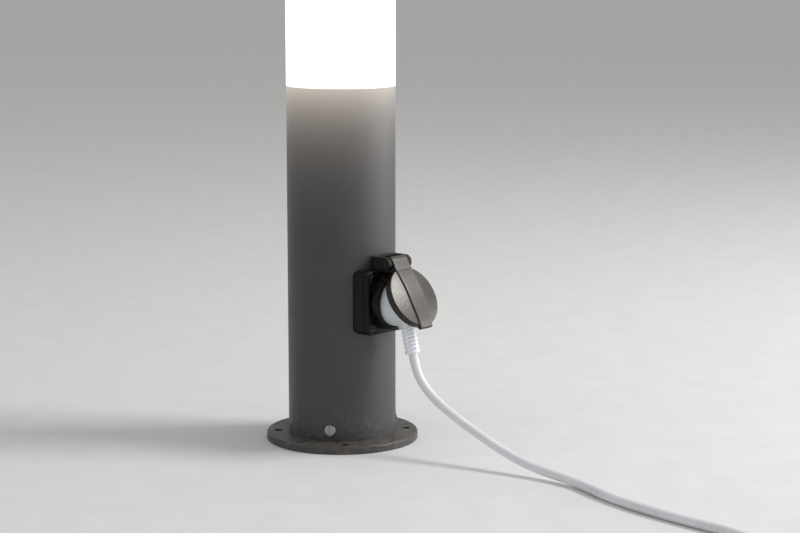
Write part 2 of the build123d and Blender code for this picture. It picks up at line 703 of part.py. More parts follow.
def plug_body():
    """Angled plug: round in the recess, its back sloped under the lid."""
    high = PLUG_R + PLUG_EDGE
    bend = PIVOT_RISE
    while lid_plane_depth(bend, LID_GAP) < PLUG_BACK:
        bend -= PLUG_EDGE / 4
    low_back = PLUG_BACK - PLUG_BACK_R
    side = outline((-high, PLUG_FRONT), (high, PLUG_FRONT),
                   (high, lid_plane_depth(high, LID_GAP)),
                   (bend, lid_plane_depth(bend, LID_GAP)),
                   (-PLUG_R + PLUG_BACK_R, PLUG_BACK), (-high, low_back))
    corners = side.vertices().sort_by(Axis.Y)[-2:]
    side = fillet(corners, PLUG_BACK_R)
    body = side_cut(side, 2 * high) & drum(PLUG_R, PLUG_FRONT, PLUG_BACK + OVERRUN)
    body = fillet(body.edges().filter_by(lambda edge: edge.center().Z > COLLAR_FRONT
                                         and edge.geom_type != GeomType.LINE), PLUG_EDGE)
    body = SOCKET * body
    boss = turned(fillet(outline((0, -BOSS_L), (BOSS_R, -BOSS_L), (BOSS_R, 0), (0, 0)).vertices()
                         .sort_by(Axis.X)[-2:].sort_by(Axis.Y)[-1], PLUG_EDGE))
    body += relief_frame() * boss
    across = 2 * (PLUG_R - PLUG_SLOT_T)
    slots = slab(PLUG_SLOT_W, 2 * high, PLUG_FRONT - OVERRUN, PLUG_FRONT + STRIP_L + STRIP_T)
    slots -= slab(PLUG_SLOT_W + OVERRUN, across, PLUG_FRONT - 2 * OVERRUN, PLUG_BACK)
    cheeks = slab(2 * high, CHEEK_W, PLUG_FRONT - OVERRUN, FLANGE_FRONT + LID_GAP)
    cheeks -= slab(2 * (PLUG_R - CHEEK_T), CHEEK_W + OVERRUN, PLUG_FRONT - 2 * OVERRUN, PLUG_BACK)
    return body - SOCKET * (slots + cheeks)


def plug_pins():
    """The two round pins that carry the current."""
    pin = drum(PIN_D / 2, PLUG_FRONT - PIN_L, PLUG_FRONT)
    pin = fillet(pin.edges().sort_by(Axis.Z)[0], PIN_D / 4)
    return [SOCKET * Pos(side * PIN_X, 0, 0) * pin for side in (-1, 1)]


def plug_earth_strips():
    """Brass strips in the plug's two side slots."""
    near = PLUG_R - PLUG_SLOT_T
    strip = Pos(0, near + STRIP_T / 2, 0) * slab(
        STRIP_W, STRIP_T, PLUG_FRONT + STRIP_T / 2, PLUG_FRONT + STRIP_L)
    return [SOCKET * Rot(0, 0, turn) * strip for turn in (0, 180)]


def ribbed_relief(length, ribs, outer_start, outer_end, core_start, core_end):
    """Tapered sleeve with rings standing out from a thinner core."""
    pitch = length / ribs
    rib = pitch * RELIEF_RIB_SHARE
    points = [(0, 0)]
    for index in range(ribs):
        share = index / (ribs - 1)
        outer = outer_start + (outer_end - outer_start) * share
        core = core_start + (core_end - core_start) * share
        low = index * pitch
        gap_high = low + pitch - rib
        points += [(core, low), (core, gap_high), (outer, gap_high), (outer, low + pitch)]
    points.append((0, length))
    return turned(outline(*points))


def plug_strain_relief():
    return relief_frame() * ribbed_relief(
        RELIEF_L, RELIEF_RIBS, RELIEF_R, RELIEF_R, RELIEF_CORE_R, RELIEF_CORE_R)


# Lead: places in millimetres, the run's in the socket's upright plane first
def lead_start():
    return relief_frame() * Pos(0, 0, RELIEF_L)


LEAD_FIRST = 13.0
LEAD_FALL = [(85.3, 53.4), (101.1, 41.2), (135.5, 25.2), (182.0, 8.2)]
LEAD_FLOOR = [(0.5, -229.0), (-19.0, -273.0), (-30.0, -330.0)]
LEAD_LAST = 72.0
TAIL_FIRST = 17.0
TAIL_RISE = [(-69.8, -535.3, 13.5), (-48.8, -550.6, 17.6)]
TAIL_LAST = 17.0
COUPLER_TIP = (-8.0, -553.9)


def coil_place(turns):
    """Point of the coil: in at a steady rate on the floor, out again one layer up."""
    inward = COIL_IN_TURNS - abs(turns - COIL_IN_TURNS)
    radius = COIL_OUT_R - TURN_PITCH * inward
    climb = min(max((turns - COIL_IN_TURNS) / CLIMB_TURNS + 1 / 2, 0.0), 1.0)
    angle = radians(COIL_ENTRY_ANGLE) + 2 * pi * turns
    return (COIL_X + radius * cos(angle), COIL_Y + radius * sin(angle),
            CORD_R + LAYER_RISE * climb)


def coil_ends(reach):
    """Points on the coil's straight ends, this far beyond its first and last turn."""
    edges, points, ways = wound(coil_place, COIL_IN_TURNS * 8)
    return points[0] - ways[0] * reach, points[-1] + ways[-1] * reach


def lead_coil():
    """The spare length, wound in two flat layers."""
    edges, points, ways = wound(coil_place, COIL_IN_TURNS * 8)
    start, end = coil_ends(CORD_D)
    edges = [Edge.make_line(start, points[0])] + edges + [Edge.make_line(points[-1], end)]
    return tube_along(edges, CORD_R)


def bend_radii(points):
    """Largest arc at each corner that leaves a tenth of its shorter run straight."""
    radii = []
    for before, corner, after in zip(points, points[1:], points[2:]):
        back, ahead = corner - before, after - corner
        half_turn = radians(back.get_angle(ahead)) / 2
        radii.append(CORNER_SHARE * min(back.length, ahead.length) / tan(half_turn))
    return radii


def run_tube(points, name):
    radii = bend_radii(points)
    print(name, "bend radii", [round(radius) for radius in radii])
    path = FilletPolyline(*points, radius=radii)
    tube = tube_along(path.edges(), CORD_R)
    print(name, "length", round(path.length), "volume ratio",
          round(tube.volume / (pi * CORD_R ** 2 * path.length), 4))
    return tube


def lead_run():
    start = lead_start()
    first = [start.position, (start * Pos(0, 0, LEAD_FIRST)).position]
    fall = [Vector(0, -depth, height) for depth, height in LEAD_FALL]
    floor = [Vector(x, y, CORD_R) for x, y in LEAD_FLOOR]
    last = [coil_ends(CORD_D + LEAD_LAST)[0], coil_ends(CORD_D)[0]]
    return run_tube(first + fall + floor + last, "lead_run")


def lead_tail():
    first = [coil_ends(CORD_D)[1], coil_ends(CORD_D + TAIL_FIRST)[1]]
    rise = [Vector(*spot) for spot in TAIL_RISE]
    tip = Vector(*COUPLER_TIP, COUPLER_R)
    return run_tube(first + rise + [tip - Vector(TAIL_LAST, 0, 0), tip], "lead_tail")


# Coupler
def coupler_frame():
    """Frame on the coupler's axis: Z runs from its strain relief to its mouth."""
    return Pos(*COUPLER_TIP, COUPLER_R) * Rot(0, 90, 0)


def coupler_relief():
    return coupler_frame() * ribbed_relief(
        COUPLER_RELIEF_L, RELIEF_RIBS + 2, RELIEF_R, COUPLER_NECK_R, RELIEF_CORE_R,
        COUPLER_NECK_R - LID_WALL)


def coupler_body():
    """Round coupler with a waisted grip and the same recess as the post's socket."""
    base = COUPLER_RELIEF_L
    mouth = base + COUPLER_L
    grip = base + COUPLER_L - RECESS_DEPTH - FLOOR_T
    edge = Polyline((0, base), (COUPLER_NECK_R, base))
    edge += ThreePointArc((COUPLER_NECK_R, base), (COUPLER_WAIST_R - LID_WALL, base + OVERRUN),
                          (COUPLER_WAIST_R, base + 3 * OVERRUN))
    edge += Polyline((COUPLER_WAIST_R, base + 3 * OVERRUN), (COUPLER_R, grip),
                     (COUPLER_R, mouth), (0, mouth), (0, base))
    body = turned(make_face(edge))
    body = fillet(body.edges().group_by(Axis.Z)[-1], COUPLER_EDGE)
    floor = mouth - RECESS_DEPTH
    body -= drum(COLLAR_BORE_R, floor, mouth + OVERRUN)
    for side in (-1, 1):
        body -= Pos(0, side * PIN_X, 0) * drum(PIN_HOLE_R, floor - PIN_L, mouth)
    groove = Pos(COUPLER_R, 0, 0) * drum(GRIP_T, grip - GRIP_L, mouth + OVERRUN)
    groove &= drum(COUPLER_R + OVERRUN, grip, mouth - 2 * COUPLER_EDGE)
    body -= PolarLocations(0, GRIP_COUNT, 180 / GRIP_COUNT) * groove
    return coupler_frame() * body


def coupler_clips():
    """Earth clips at two sides of the coupler's recess."""
    floor = COUPLER_RELIEF_L + COUPLER_L - RECESS_DEPTH
    strip = Pos(clip_inner() + CLIP_T / 2, 0, 0) * slab(
        CLIP_T, CLIP_W, floor + SEAT_GAP, floor + CLIP_REACH)
    return [coupler_frame() * Rot(0, 0, turn) * strip for turn in (0, 180)]


# Wiring inside the tube
def bracket():
    """Bent strip on the foot that carries the terminal block."""
    back = BRACKET_Y
    strip = outline((back, PLATE_T), (back + BRACKET_FOOT, PLATE_T),
                    (back + BRACKET_FOOT, PLATE_T + BRACKET_T),
                    (back + BRACKET_T, PLATE_T + BRACKET_T),
                    (back + BRACKET_T, PLATE_T + BRACKET_H), (back, PLATE_T + BRACKET_H))
    body = side_cut(strip, BRACKET_W)
    for place in bracket_screw_places():
        body -= place * drum(BRACKET_SCREW_D / 2 + SEAT_GAP, -OVERRUN, OVERRUN)
    return body


def bracket_screw_places():
    return [Pos(side * BRACKET_W / 3, BRACKET_Y + BRACKET_FOOT * BRACKET_SCREW_SHARE, PLATE_T + BRACKET_T)
            for side in (-1, 1)]


def bracket_screws():
    one = screw(BRACKET_SCREW_D, BRACKET_SCREW_L, BRACKET_SCREW_HEAD_D, BRACKET_T)
    return [place * one for place in bracket_screw_places()]


def pole_places():
    first = -(BLOCK_POLES - 1) / 2 * POLE_PITCH
    return [first + index * POLE_PITCH for index in range(BLOCK_POLES)]


def terminal_block():
    """Three-pole block with a wire hole above and below each pole and a screw in front."""
    middle = BRACKET_Y - SEAT_GAP - POLE_DEPTH / 2
    body = Pos(0, middle, POLE_Z) * Box(
        BLOCK_POLES * POLE_PITCH, POLE_DEPTH, POLE_H, align=BASE_ALIGN)
    body = chamfer(body.edges().filter_by(Axis.X).group_by(Axis.Y)[0], POLE_EDGE)
    for spot in pole_places():
        way = Pos(spot, middle, POLE_Z - OVERRUN) * Cylinder(
            CAGE_WIRE_D / 2, POLE_H + 2 * OVERRUN, align=BASE_ALIGN)
        face = Pos(spot, middle, POLE_Z + POLE_H / 2) * Rot(90, 0, 0) * drum(
            POLE_SCREW_D / 2 + SLIDE_GAP, 0, POLE_DEPTH)
        body -= way + face
    return body


def block_screws():
    front = BRACKET_Y - SEAT_GAP - POLE_DEPTH
    middle = POLE_DEPTH / 2 - CAGE_WIRE_D / 2
    pins = []
    for spot in pole_places():
        pin = drum(POLE_SCREW_D / 2, -middle, -POLE_SCREW_H)
        pins.append(Pos(spot, front, POLE_Z + POLE_H / 2) * Rot(90, 0, 0) * pin)
    return pins


def wire(points, diameter):
    """Insulated wire through the given points."""
    path = FilletPolyline(*points, radius=bend_radii([Vector(*spot) for spot in points]))
    return tube_along(path.edges(), diameter / 2)


def socket_wire(pole):
    """Wire from one pole of the terminal block to the clamp behind the socket."""
    spot = pole_places()[pole]
    target = (-PIN_X, 0, PIN_X)[pole]
    middle = BRACKET_Y - SEAT_GAP - POLE_DEPTH / 2
    clamp = -(cage_front() - CAGE_L)
    top = POLE_Z + POLE_H
    bend = SOCKET_HEIGHT - CAGE_L
    return wire([(spot, middle, top - POLE_H / 3), (spot, middle, top + POLE_H),
                 (target, middle + WIRE_D, bend), (target, middle - WIRE_D, SOCKET_HEIGHT),
                 (target, clamp + CAGE_L, SOCKET_HEIGHT + SEAT_GAP),
                 (target, clamp - CAGE_L / 3, SOCKET_HEIGHT)], WIRE_D)


def lamp_lead():
    """Flexible lead up the back of the tube to the lampholder."""
    back = BRACKET_Y + BRACKET_T + LAMP_LEAD_D / 2 + SEAT_GAP
    top = TUBE_TOP - COLLAR_H
    low = POLE_Z + POLE_H / 2
    first, second = [low + (top - low) * share for share in LAMP_LEAD_RISE_SHARES]
    return wire([(0, back, low), (0, back + SLIDE_GAP, first),
                 (0, back + LAMP_LEAD_D, second),
                 (0, back + LAMP_LEAD_D / 2, top - LAMP_LEAD_D * 4),
                 (0, back / 2, top - LAMP_LEAD_D), (0, SEAT_GAP, top + COLLAR_H / 4),
                 (0, 0, TUBE_TOP + HOLDER_FLOOR / 4)], LAMP_LEAD_D)


def earth_wire():
    """Wire from the foot's earth stud up to the middle pole."""
    start = EARTH_STUD_Y + LUG_R + LUG_BARREL_L
    level = PLATE_T + SEAT_GAP + WIRE_D / 2 + LUG_T
    middle = BRACKET_Y - SEAT_GAP - POLE_DEPTH / 2
    near, far = [EARTH_STUD_X * share for share in EARTH_WIRE_SIDE_SHARES]
    low, high = [level + (POLE_Z - level) * share for share in EARTH_WIRE_RISE_SHARES]
    return wire([(EARTH_STUD_X, start, level), (EARTH_STUD_X, start + LUG_R, level),
                 (near, BRACKET_Y * EARTH_WIRE_BACK_SHARE, low), (far, middle, high),
                 (0, middle, POLE_Z - LUG_R), (0, middle, POLE_Z + LUG_R)], WIRE_D)


def earth_stud():
    stud = drum(EARTH_STUD_D / 2, 0, EARTH_STUD_H)
    nut = extrude(RegularPolygon(EARTH_NUT_AF / 2, 6, major_radius=False), EARTH_NUT_H)
    nut = Pos(0, 0, LUG_T + 2 * SEAT_GAP) * nut
    return Pos(EARTH_STUD_X, EARTH_STUD_Y, PLATE_T) * (stud + nut)


def earth_lug():
    eye = ring(LUG_R, EARTH_STUD_D / 2 + SEAT_GAP, SEAT_GAP, SEAT_GAP + LUG_T)
    level = SEAT_GAP + LUG_T + WIRE_D / 2
    barrel = Pos(0, LUG_R - LID_GAP, level) * Rot(-90, 0, 0) * Cylinder(
        WIRE_D / 2 + LUG_T, LUG_BARREL_L + LID_GAP, align=BASE_ALIGN)
    barrel &= slab(PLATE_D, PLATE_D, SEAT_GAP, PLATE_D)
    return Pos(EARTH_STUD_X, EARTH_STUD_Y, PLATE_T) * (eye + barrel)


# Lamp head
def head_collar():
    """Ring in the top of the tube whose neck centres the diffuser."""
    low = TUBE_TOP - COLLAR_H
    inner = SPIGOT_R - COLLAR_WALL
    body = ring(SPIGOT_R, inner, low, TUBE_TOP)
    body += ring(NECK_R, inner, TUBE_TOP - LEDGE_W, HEAD_BASE + NECK_H)
    body += ring(SPIGOT_R, inner - LEDGE_W, low, TUBE_TOP - TRAY_T)
    hole = drum(HEAD_SCREW_D / 2 + SEAT_GAP, inner - OVERRUN, TUBE_R + OVERRUN)
    for angle in HEAD_SCREW_ANGLES:
        body -= radial(angle, TUBE_TOP - HEAD_SCREW_DROP) * hole
    for place in tray_screw_places():
        body -= place * drum(TRAY_SCREW_D / 2 + SEAT_GAP, -TRAY_SCREW_L - OVERRUN, OVERRUN)
    return body


def tray_screw_places():
    reach = SPIGOT_R - COLLAR_WALL - LEDGE_W / 2
    return [Pos(side * reach, 0, TUBE_TOP) for side in (-1, 1)]


def tray_screws():
    one = screw(TRAY_SCREW_D, TRAY_SCREW_L, TRAY_SCREW_HEAD_D, TRAY_T)
    return [place * one for place in tray_screw_places()]


def head_screws():
    """Headless screws through the tube's back into the head's collar."""
    pin = drum(HEAD_SCREW_D / 2, TUBE_R - HEAD_SCREW_L, TUBE_R - SEAT_GAP)
    pin -= slab(HEAD_SCREW_D, SCREW_SLOT_W, TUBE_R - SCREW_SLOT_T, TUBE_R + OVERRUN)
    return [radial(angle, TUBE_TOP - HEAD_SCREW_DROP) * pin for angle in HEAD_SCREW_ANGLES]


def lamp_tray():
    radius = SPIGOT_R - COLLAR_WALL - SEAT_GAP
    tray = ring(radius, LAMP_LEAD_D / 2 + SLIDE_GAP, TUBE_TOP - TRAY_T, TUBE_TOP)
    for place in tray_screw_places():
        tray -= place * drum(TRAY_SCREW_D / 2 + SEAT_GAP, -TRAY_SCREW_L, OVERRUN)
    return tray


def head_seal():
    return ring(TUBE_R - SEAT_GAP, SPIGOT_R + SLIDE_GAP, TUBE_TOP, HEAD_BASE)


def lamp_holder():
    """Lampholder: a tapered foot and a wider skirt round the lamp's screw cap."""
    low = TUBE_TOP
    high = low + HOLDER_H
    outer = outline((0, low), (HOLDER_BASE_R, low), (HOLDER_BASE_R, low + HOLDER_FLOOR / 2),
                    (HOLDER_R, low + HOLDER_FLOOR), (HOLDER_R, high), (0, high))
    body = turned(outer)
    body -= drum(HOLDER_R - HOLDER_WALL, low + HOLDER_FLOOR, high + OVERRUN)
    return body - drum(LAMP_LEAD_D / 2 + SLIDE_GAP, low - OVERRUN, low + HOLDER_FLOOR / 2)


def holder_sleeve():
    """Threaded sleeve that grips the lamp's cap."""
    low = TUBE_TOP + HOLDER_FLOOR
    outer = HOLDER_R - HOLDER_WALL - SLIDE_GAP
    return ring(outer, LAMP_THREAD_R + SLIDE_GAP, low + SEAT_GAP, low + LAMP_CAP_H)


def holder_contact():
    """Sprung tongue under the lamp's centre contact."""
    low = TUBE_TOP + HOLDER_FLOOR
    return Pos(0, 0, low) * Box(HOLDER_BASE_R, CLIP_W, CLIP_T, align=BASE_ALIGN)


def lamp_cap():
    low = TUBE_TOP + HOLDER_FLOOR + CLIP_T + SEAT_GAP
    tip = LAMP_THREAD_R / 3
    shell = drum(LAMP_THREAD_R, low + tip, low + LAMP_CAP_H)
    return shell + Pos(0, 0, low) * Cone(tip, LAMP_THREAD_R - tip, tip, align=BASE_ALIGN)


def lamp_base_z():
    return TUBE_TOP + HOLDER_FLOOR + CLIP_T + SEAT_GAP + LAMP_CAP_H


def lamp_body():
    """Tapered body of the lamp between its cap and its globe."""
    low = lamp_base_z()
    edge = Polyline((0, low), (LAMP_NECK_R, low))
    edge += ThreePointArc((LAMP_NECK_R, low), (LAMP_NECK_R + LAMP_BODY_H / 6, low + LAMP_BODY_H / 2),
                          (GLOBE_R * GLOBE_NECK_SHARE, low + LAMP_BODY_H))
    edge += Polyline((GLOBE_R * GLOBE_NECK_SHARE, low + LAMP_BODY_H), (0, low + LAMP_BODY_H),
                     (0, low))
    return turned(make_face(edge))


def lamp_globe():
    low = lamp_base_z() + LAMP_BODY_H + SEAT_GAP
    centre = low + sqrt(GLOBE_R ** 2 - (GLOBE_R * GLOBE_NECK_SHARE) ** 2)
    ball = Pos(0, 0, centre) * Sphere(GLOBE_R)
    hollow = Pos(0, 0, centre) * Sphere(GLOBE_R - LID_WALL)
    return (ball - hollow) & drum(GLOBE_R + OVERRUN, low, centre + GLOBE_R + OVERRUN)


def diffuser():
    """Opal tube, flush with the post."""
    body = ring(TUBE_R, DIFFUSER_BORE_R, HEAD_BASE, DIFFUSER_TOP)
    return body


def top_cap():
    """Lid of the lamp head: slightly crowned, with a spigot into the diffuser."""
    low = DIFFUSER_TOP
    high = low + CAP_T
    edge = Polyline((0, low), (TUBE_R, low), (TUBE_R, high - CAP_EDGE))
    edge += ThreePointArc((TUBE_R, high - CAP_EDGE),
                          (TUBE_R - CAP_EDGE * (1 - cos(radians(45))),
                           high - CAP_EDGE * (1 - sin(radians(45)))), (TUBE_R - CAP_EDGE, high))
    half = (TUBE_R - CAP_EDGE) / 2
    ball = cap_ball(TUBE_R - CAP_EDGE, CAP_CROWN)
    edge += ThreePointArc((TUBE_R - CAP_EDGE, high),
                          (half, high + CAP_CROWN - ball + sqrt(ball ** 2 - half ** 2)),
                          (0, high + CAP_CROWN))
    edge += Polyline((0, high + CAP_CROWN), (0, low))
    body = turned(make_face(edge))
    spigot = ring(NECK_R, NECK_R - CAP_SPIGOT_WALL, low - CAP_SPIGOT_H, low)
    level = low - CAP_SPIGOT_H / 2
    groove = ring(TUBE_R, NECK_R - 2 * CAP_SEAL_R, level - CAP_SEAL_R - SEAT_GAP,
                  level + CAP_SEAL_R + SEAT_GAP)
    return body + spigot - groove


def cap_seal():
    """Round cord ring in the groove of the cap's spigot."""
    level = DIFFUSER_TOP - CAP_SPIGOT_H / 2
    return Pos(0, 0, level) * Torus(NECK_R - CAP_SEAL_R + SEAT_GAP, CAP_SEAL_R)


PARTS = {
    "base_plate": base_plate,
    "entry_grommet": entry_grommet,
    "foot_screws": foot_screws,
    "earth_stud": earth_stud,
    "earth_lug": earth_lug,
    "wire_foot_earth": earth_wire,
    "post_tube": post_tube,
    "terminal_bracket": bracket,
    "bracket_screws": bracket_screws,
    "terminal_block": terminal_block,
    "terminal_block_screws": block_screws,
    "wire_live": lambda: socket_wire(0),
    "wire_earth": lambda: socket_wire(1),
    "wire_neutral": lambda: socket_wire(2),
    "lamp_lead": lamp_lead,
    "socket_saddle": socket_saddle,
    "socket_gasket": socket_gasket,
    "socket_body": socket_body,
    "socket_screws": socket_screws,
    "socket_housing": socket_housing,
    "live_contact": lambda: pin_contact(-1),
    "neutral_contact": lambda: pin_contact(1),
    "earth_clip": earth_clip,
    "socket_terminal_screws": terminal_screws,
    "hinge_pin": hinge_pin,
    "lid_spring": lid_spring,
    "lid": lid,
    "lid_seal": lid_seal,
    "plug_body": plug_body,
    "plug_pins": plug_pins,
    "plug_earth_strips": plug_earth_strips,
    "plug_strain_relief": plug_strain_relief,
    "lead_run": lead_run,
    "lead_coil": lead_coil,
    "lead_tail": lead_tail,
    "coupler_relief": coupler_relief,
    "coupler_body": coupler_body,
    "coupler_clips": coupler_clips,
    "head_collar": head_collar,
    "head_screws": head_screws,
    "head_seal": head_seal,
    "lamp_tray": lamp_tray,
    "tray_screws": tray_screws,
    "lamp_holder": lamp_holder,
    "holder_sleeve": holder_sleeve,
    "holder_contact": holder_contact,
    "lamp_cap": lamp_cap,
    "lamp_body": lamp_body,
    "lamp_globe": lamp_globe,
    "diffuser": diffuser,
    "top_cap": top_cap,
    "cap_seal": cap_seal,
}

os.makedirs("parts", exist_ok=True)
for name, make in PARTS.items():
    made = make()
    solids = made if isinstance(made, list) else [made]
    export_step(Compound([solid for piece in solids for solid in piece.solids()]),
                f"parts/{name}.step")

print("coil self gap", round(least_gap(coil_place, 2 * COIL_IN_TURNS, CORD_D), 2))
print("spring self gap", round(least_gap(spring_place, SPRING_TURNS, SPRING_WIRE), 2))
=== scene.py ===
# %% [markdown]
# # A garden socket post
#
# The object is a round anthracite post with an opal lamp head and a power socket on its side.
# The socket's sprung lid rests on an angled white plug, whose lead runs down to the ground.
# The solid model already fixes every size and place, so it is loaded first and never moved.
# This lesson adds what the eye reads: finishes, a flexible lead, a lid with a flat strap and
# finely shaped sleeves.

# %% Load the fixed frame
import json
import bpy
import numpy as np
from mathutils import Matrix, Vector


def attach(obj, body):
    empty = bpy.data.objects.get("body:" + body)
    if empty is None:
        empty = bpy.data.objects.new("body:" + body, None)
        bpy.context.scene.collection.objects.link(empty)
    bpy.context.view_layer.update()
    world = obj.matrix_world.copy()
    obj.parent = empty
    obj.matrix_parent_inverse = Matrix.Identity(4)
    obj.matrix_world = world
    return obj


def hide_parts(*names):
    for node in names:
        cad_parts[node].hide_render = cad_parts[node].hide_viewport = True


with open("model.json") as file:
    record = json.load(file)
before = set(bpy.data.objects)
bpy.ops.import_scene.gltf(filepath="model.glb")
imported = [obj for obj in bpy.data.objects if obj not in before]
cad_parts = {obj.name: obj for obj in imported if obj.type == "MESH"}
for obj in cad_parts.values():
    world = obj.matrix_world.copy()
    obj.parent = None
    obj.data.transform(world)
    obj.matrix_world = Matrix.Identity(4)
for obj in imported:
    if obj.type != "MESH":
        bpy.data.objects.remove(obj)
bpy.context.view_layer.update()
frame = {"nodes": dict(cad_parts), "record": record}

nodes = frame["nodes"]
MM = 0.001
slot_nodes = {}
for part in frame["record"]["subparts"]:
    slot_nodes.setdefault(part["material_slot"], []).append(part["node"])
print("the frame holds", len(nodes), "nodes in", len(slot_nodes), "finishes")

# %% [markdown]
# ## The camera
#
# A photograph fixes a camera once its height, distance, heading and lens are known.
# Here the post's width gives the distance, and the ovals of the tube's rim give the tilt.
# The heading comes from how far the socket, which faces -Y, has turned to the right.

# %% Camera
PHOTO_WIDTH = 800
FOCAL_PIXELS = 2000
SENSOR_WIDTH = 36.0
CAMERA_HEADING = np.radians(41.0)
CAMERA_DISTANCE = 1.5565
CAMERA_HEIGHT = 0.389
CAMERA_TILT = np.radians(9.186)
POST_OFFSET = 0.046

ahead = np.array([np.cos(CAMERA_HEADING), np.sin(CAMERA_HEADING), 0.0])
aside = np.array([ahead[1], -ahead[0], 0.0])
upright = np.array([0.0, 0.0, 1.0])
eye = POST_OFFSET * aside - CAMERA_DISTANCE * ahead + CAMERA_HEIGHT * upright
sight = np.cos(CAMERA_TILT) * ahead - np.sin(CAMERA_TILT) * upright

camera_data = bpy.data.cameras.new("photo_camera")
camera_data.sensor_width = SENSOR_WIDTH
camera_data.lens = SENSOR_WIDTH * FOCAL_PIXELS / PHOTO_WIDTH
camera_data.clip_end = 200.0
camera = bpy.data.objects.new("photo_camera", camera_data)
bpy.context.scene.collection.objects.link(camera)
camera.location = eye
camera.rotation_euler = Vector(sight).to_track_quat("-Z", "Y").to_euler()
bpy.context.scene.camera = camera
print("camera at", np.round(eye, 3), "lens", camera_data.lens)

# %% [markdown]
# ## The lead's route
#
# A mains lead is one smooth line, so it is one NURBS curve with a round bevel.
# Its control points are the corners of the route that the solid model follows.
# The spare length is wound into a flat coil of two layers: the radius falls at a steady rate
# on the floor, then grows again one layer up, and the coil's points come from that formula.

# %% Sizes of the route
CORD_D = 7.0 * MM
CORD_R = CORD_D / 2
SOCKET_Z = 116.0 * MM
RELIEF_TILT = np.radians(14.3)
RELIEF_TOP = np.array([0.0, -69.2, -19.1]) * MM + [0.0, 0.0, SOCKET_Z]
RELIEF_L = 20.0 * MM
relief_way = np.array([0.0, -np.sin(RELIEF_TILT), -np.cos(RELIEF_TILT)])

LEAD_FIRST = 13.0
LEAD_FALL = [(-85.3, 53.4), (-101.1, 41.2), (-135.5, 25.2), (-182.0, 8.2)]
LEAD_FLOOR = [(0.5, -229.0), (-19.0, -273.0), (-30.0, -330.0)]
LEAD_LAST = 72.0
TAIL_FIRST = 17.0
TAIL_RISE = [(-69.8, -535.3, 13.5), (-48.8, -550.6, 17.6)]
TAIL_LAST = 17.0
COUPLER_TIP = np.array([-8.0, -553.9, 22.2]) * MM

TURN_PITCH = 7.7 * MM
COIL_MID_R = 39.0 * MM
COIL_IN_TURNS = 2.5417
COIL_CENTRE = np.array([-30.0, -492.0]) * MM
COIL_ENTRY = np.radians(150.0)
LAYER_RISE = 7.55 * MM
CLIMB_TURNS = 0.5
POINTS_PER_TURN = 16
print("the coil has", round(2 * COIL_IN_TURNS, 2), "turns in two layers")

# %% [markdown]
# ## The coil of spare lead
#
# Someone who winds a lead by hand lays turn beside turn inwards, and then comes back out on
# top. A formula does the same: one number, the turns so far, gives the angle, the radius and
# the layer, so the whole coil is one call on an array of turns. Its two ends run straight on.

# %% Coil and route
def coil_line(turns):
    """Places on the coil: an angle that grows with the turns, a radius that falls by one
    pitch a turn and then grows again, and a height that climbs one layer in half a turn,
    where the radius turns back."""
    inward = COIL_IN_TURNS - np.abs(turns - COIL_IN_TURNS)
    radius = COIL_MID_R + TURN_PITCH * (COIL_IN_TURNS / 2 - inward)
    climb = np.clip((turns - COIL_IN_TURNS + CLIMB_TURNS / 2) / CLIMB_TURNS, 0, 1)
    angle = COIL_ENTRY + 2 * np.pi * turns
    return np.stack([COIL_CENTRE[0] + radius * np.cos(angle),
                     COIL_CENTRE[1] + radius * np.sin(angle),
                     CORD_R + LAYER_RISE * climb], axis=-1)


def coil_end(turns, reach):
    """Place on the straight line that leaves the coil at its first or last turn: the coil's
    place there, plus its direction times the reach."""
    step = 1e-4
    near, far = coil_line(np.array([turns - step, turns + step]))
    way = (far - near) / np.linalg.norm(far - near)
    return coil_line(np.array([turns]))[0] + way * reach


lead_exit = RELIEF_TOP + RELIEF_L * relief_way
last_turn = 2 * COIL_IN_TURNS
coil_turns = np.linspace(0, last_turn, int(last_turn * POINTS_PER_TURN))
route = np.vstack([
    [lead_exit, lead_exit + LEAD_FIRST * MM * relief_way],
    [(0.0, y * MM, z * MM) for y, z in LEAD_FALL],
    [(x * MM, y * MM, CORD_R) for x, y in LEAD_FLOOR],
    [coil_end(0, -CORD_D - LEAD_LAST * MM), coil_end(0, -CORD_D)],
    coil_line(coil_turns),
    [coil_end(last_turn, CORD_D), coil_end(last_turn, CORD_D + TAIL_FIRST * MM)],
    np.array(TAIL_RISE) * MM,
    [COUPLER_TIP - [TAIL_LAST * MM, 0, 0], COUPLER_TIP]])
print("the route has", len(route), "points")

# %% [markdown]
# ## The lead as one curve
#
# The real lead is extruded round its cores, so it has one section from end to end.
# A swept mesh would do, but a curve keeps the line itself, which can be measured: the length
# is read from a copy without its bevel, and that is the length that the lead is sold by.

# %% The lead
POST = "post"
LEAD_ORDER = 3
LEAD_STEPS = 8
LEAD_FINENESS = 5


def cord_curve(name, points, radius):
    """A round cord: a NURBS spline of order 3 that the route's points guide, and that ends
    on the first and last. Its radius in metres is on the points, so that the curve's own
    box is the cord's."""
    curve = bpy.data.curves.new(name, "CURVE")
    curve.dimensions = "3D"
    spline = curve.splines.new("NURBS")
    spline.points.add(len(points) - 1)
    spline.points.foreach_set("co", np.column_stack([points, np.ones(len(points))]).ravel())
    spline.points.foreach_set("radius", np.full(len(points), radius))
    spline.order_u = LEAD_ORDER
    spline.use_endpoint_u = True
    spline.resolution_u = LEAD_STEPS
    curve.bevel_depth = 1.0
    curve.bevel_resolution = LEAD_FINENESS
    curve.use_fill_caps = True
    piece = bpy.data.objects.new(name, curve)
    bpy.context.scene.collection.objects.link(piece)
    return piece


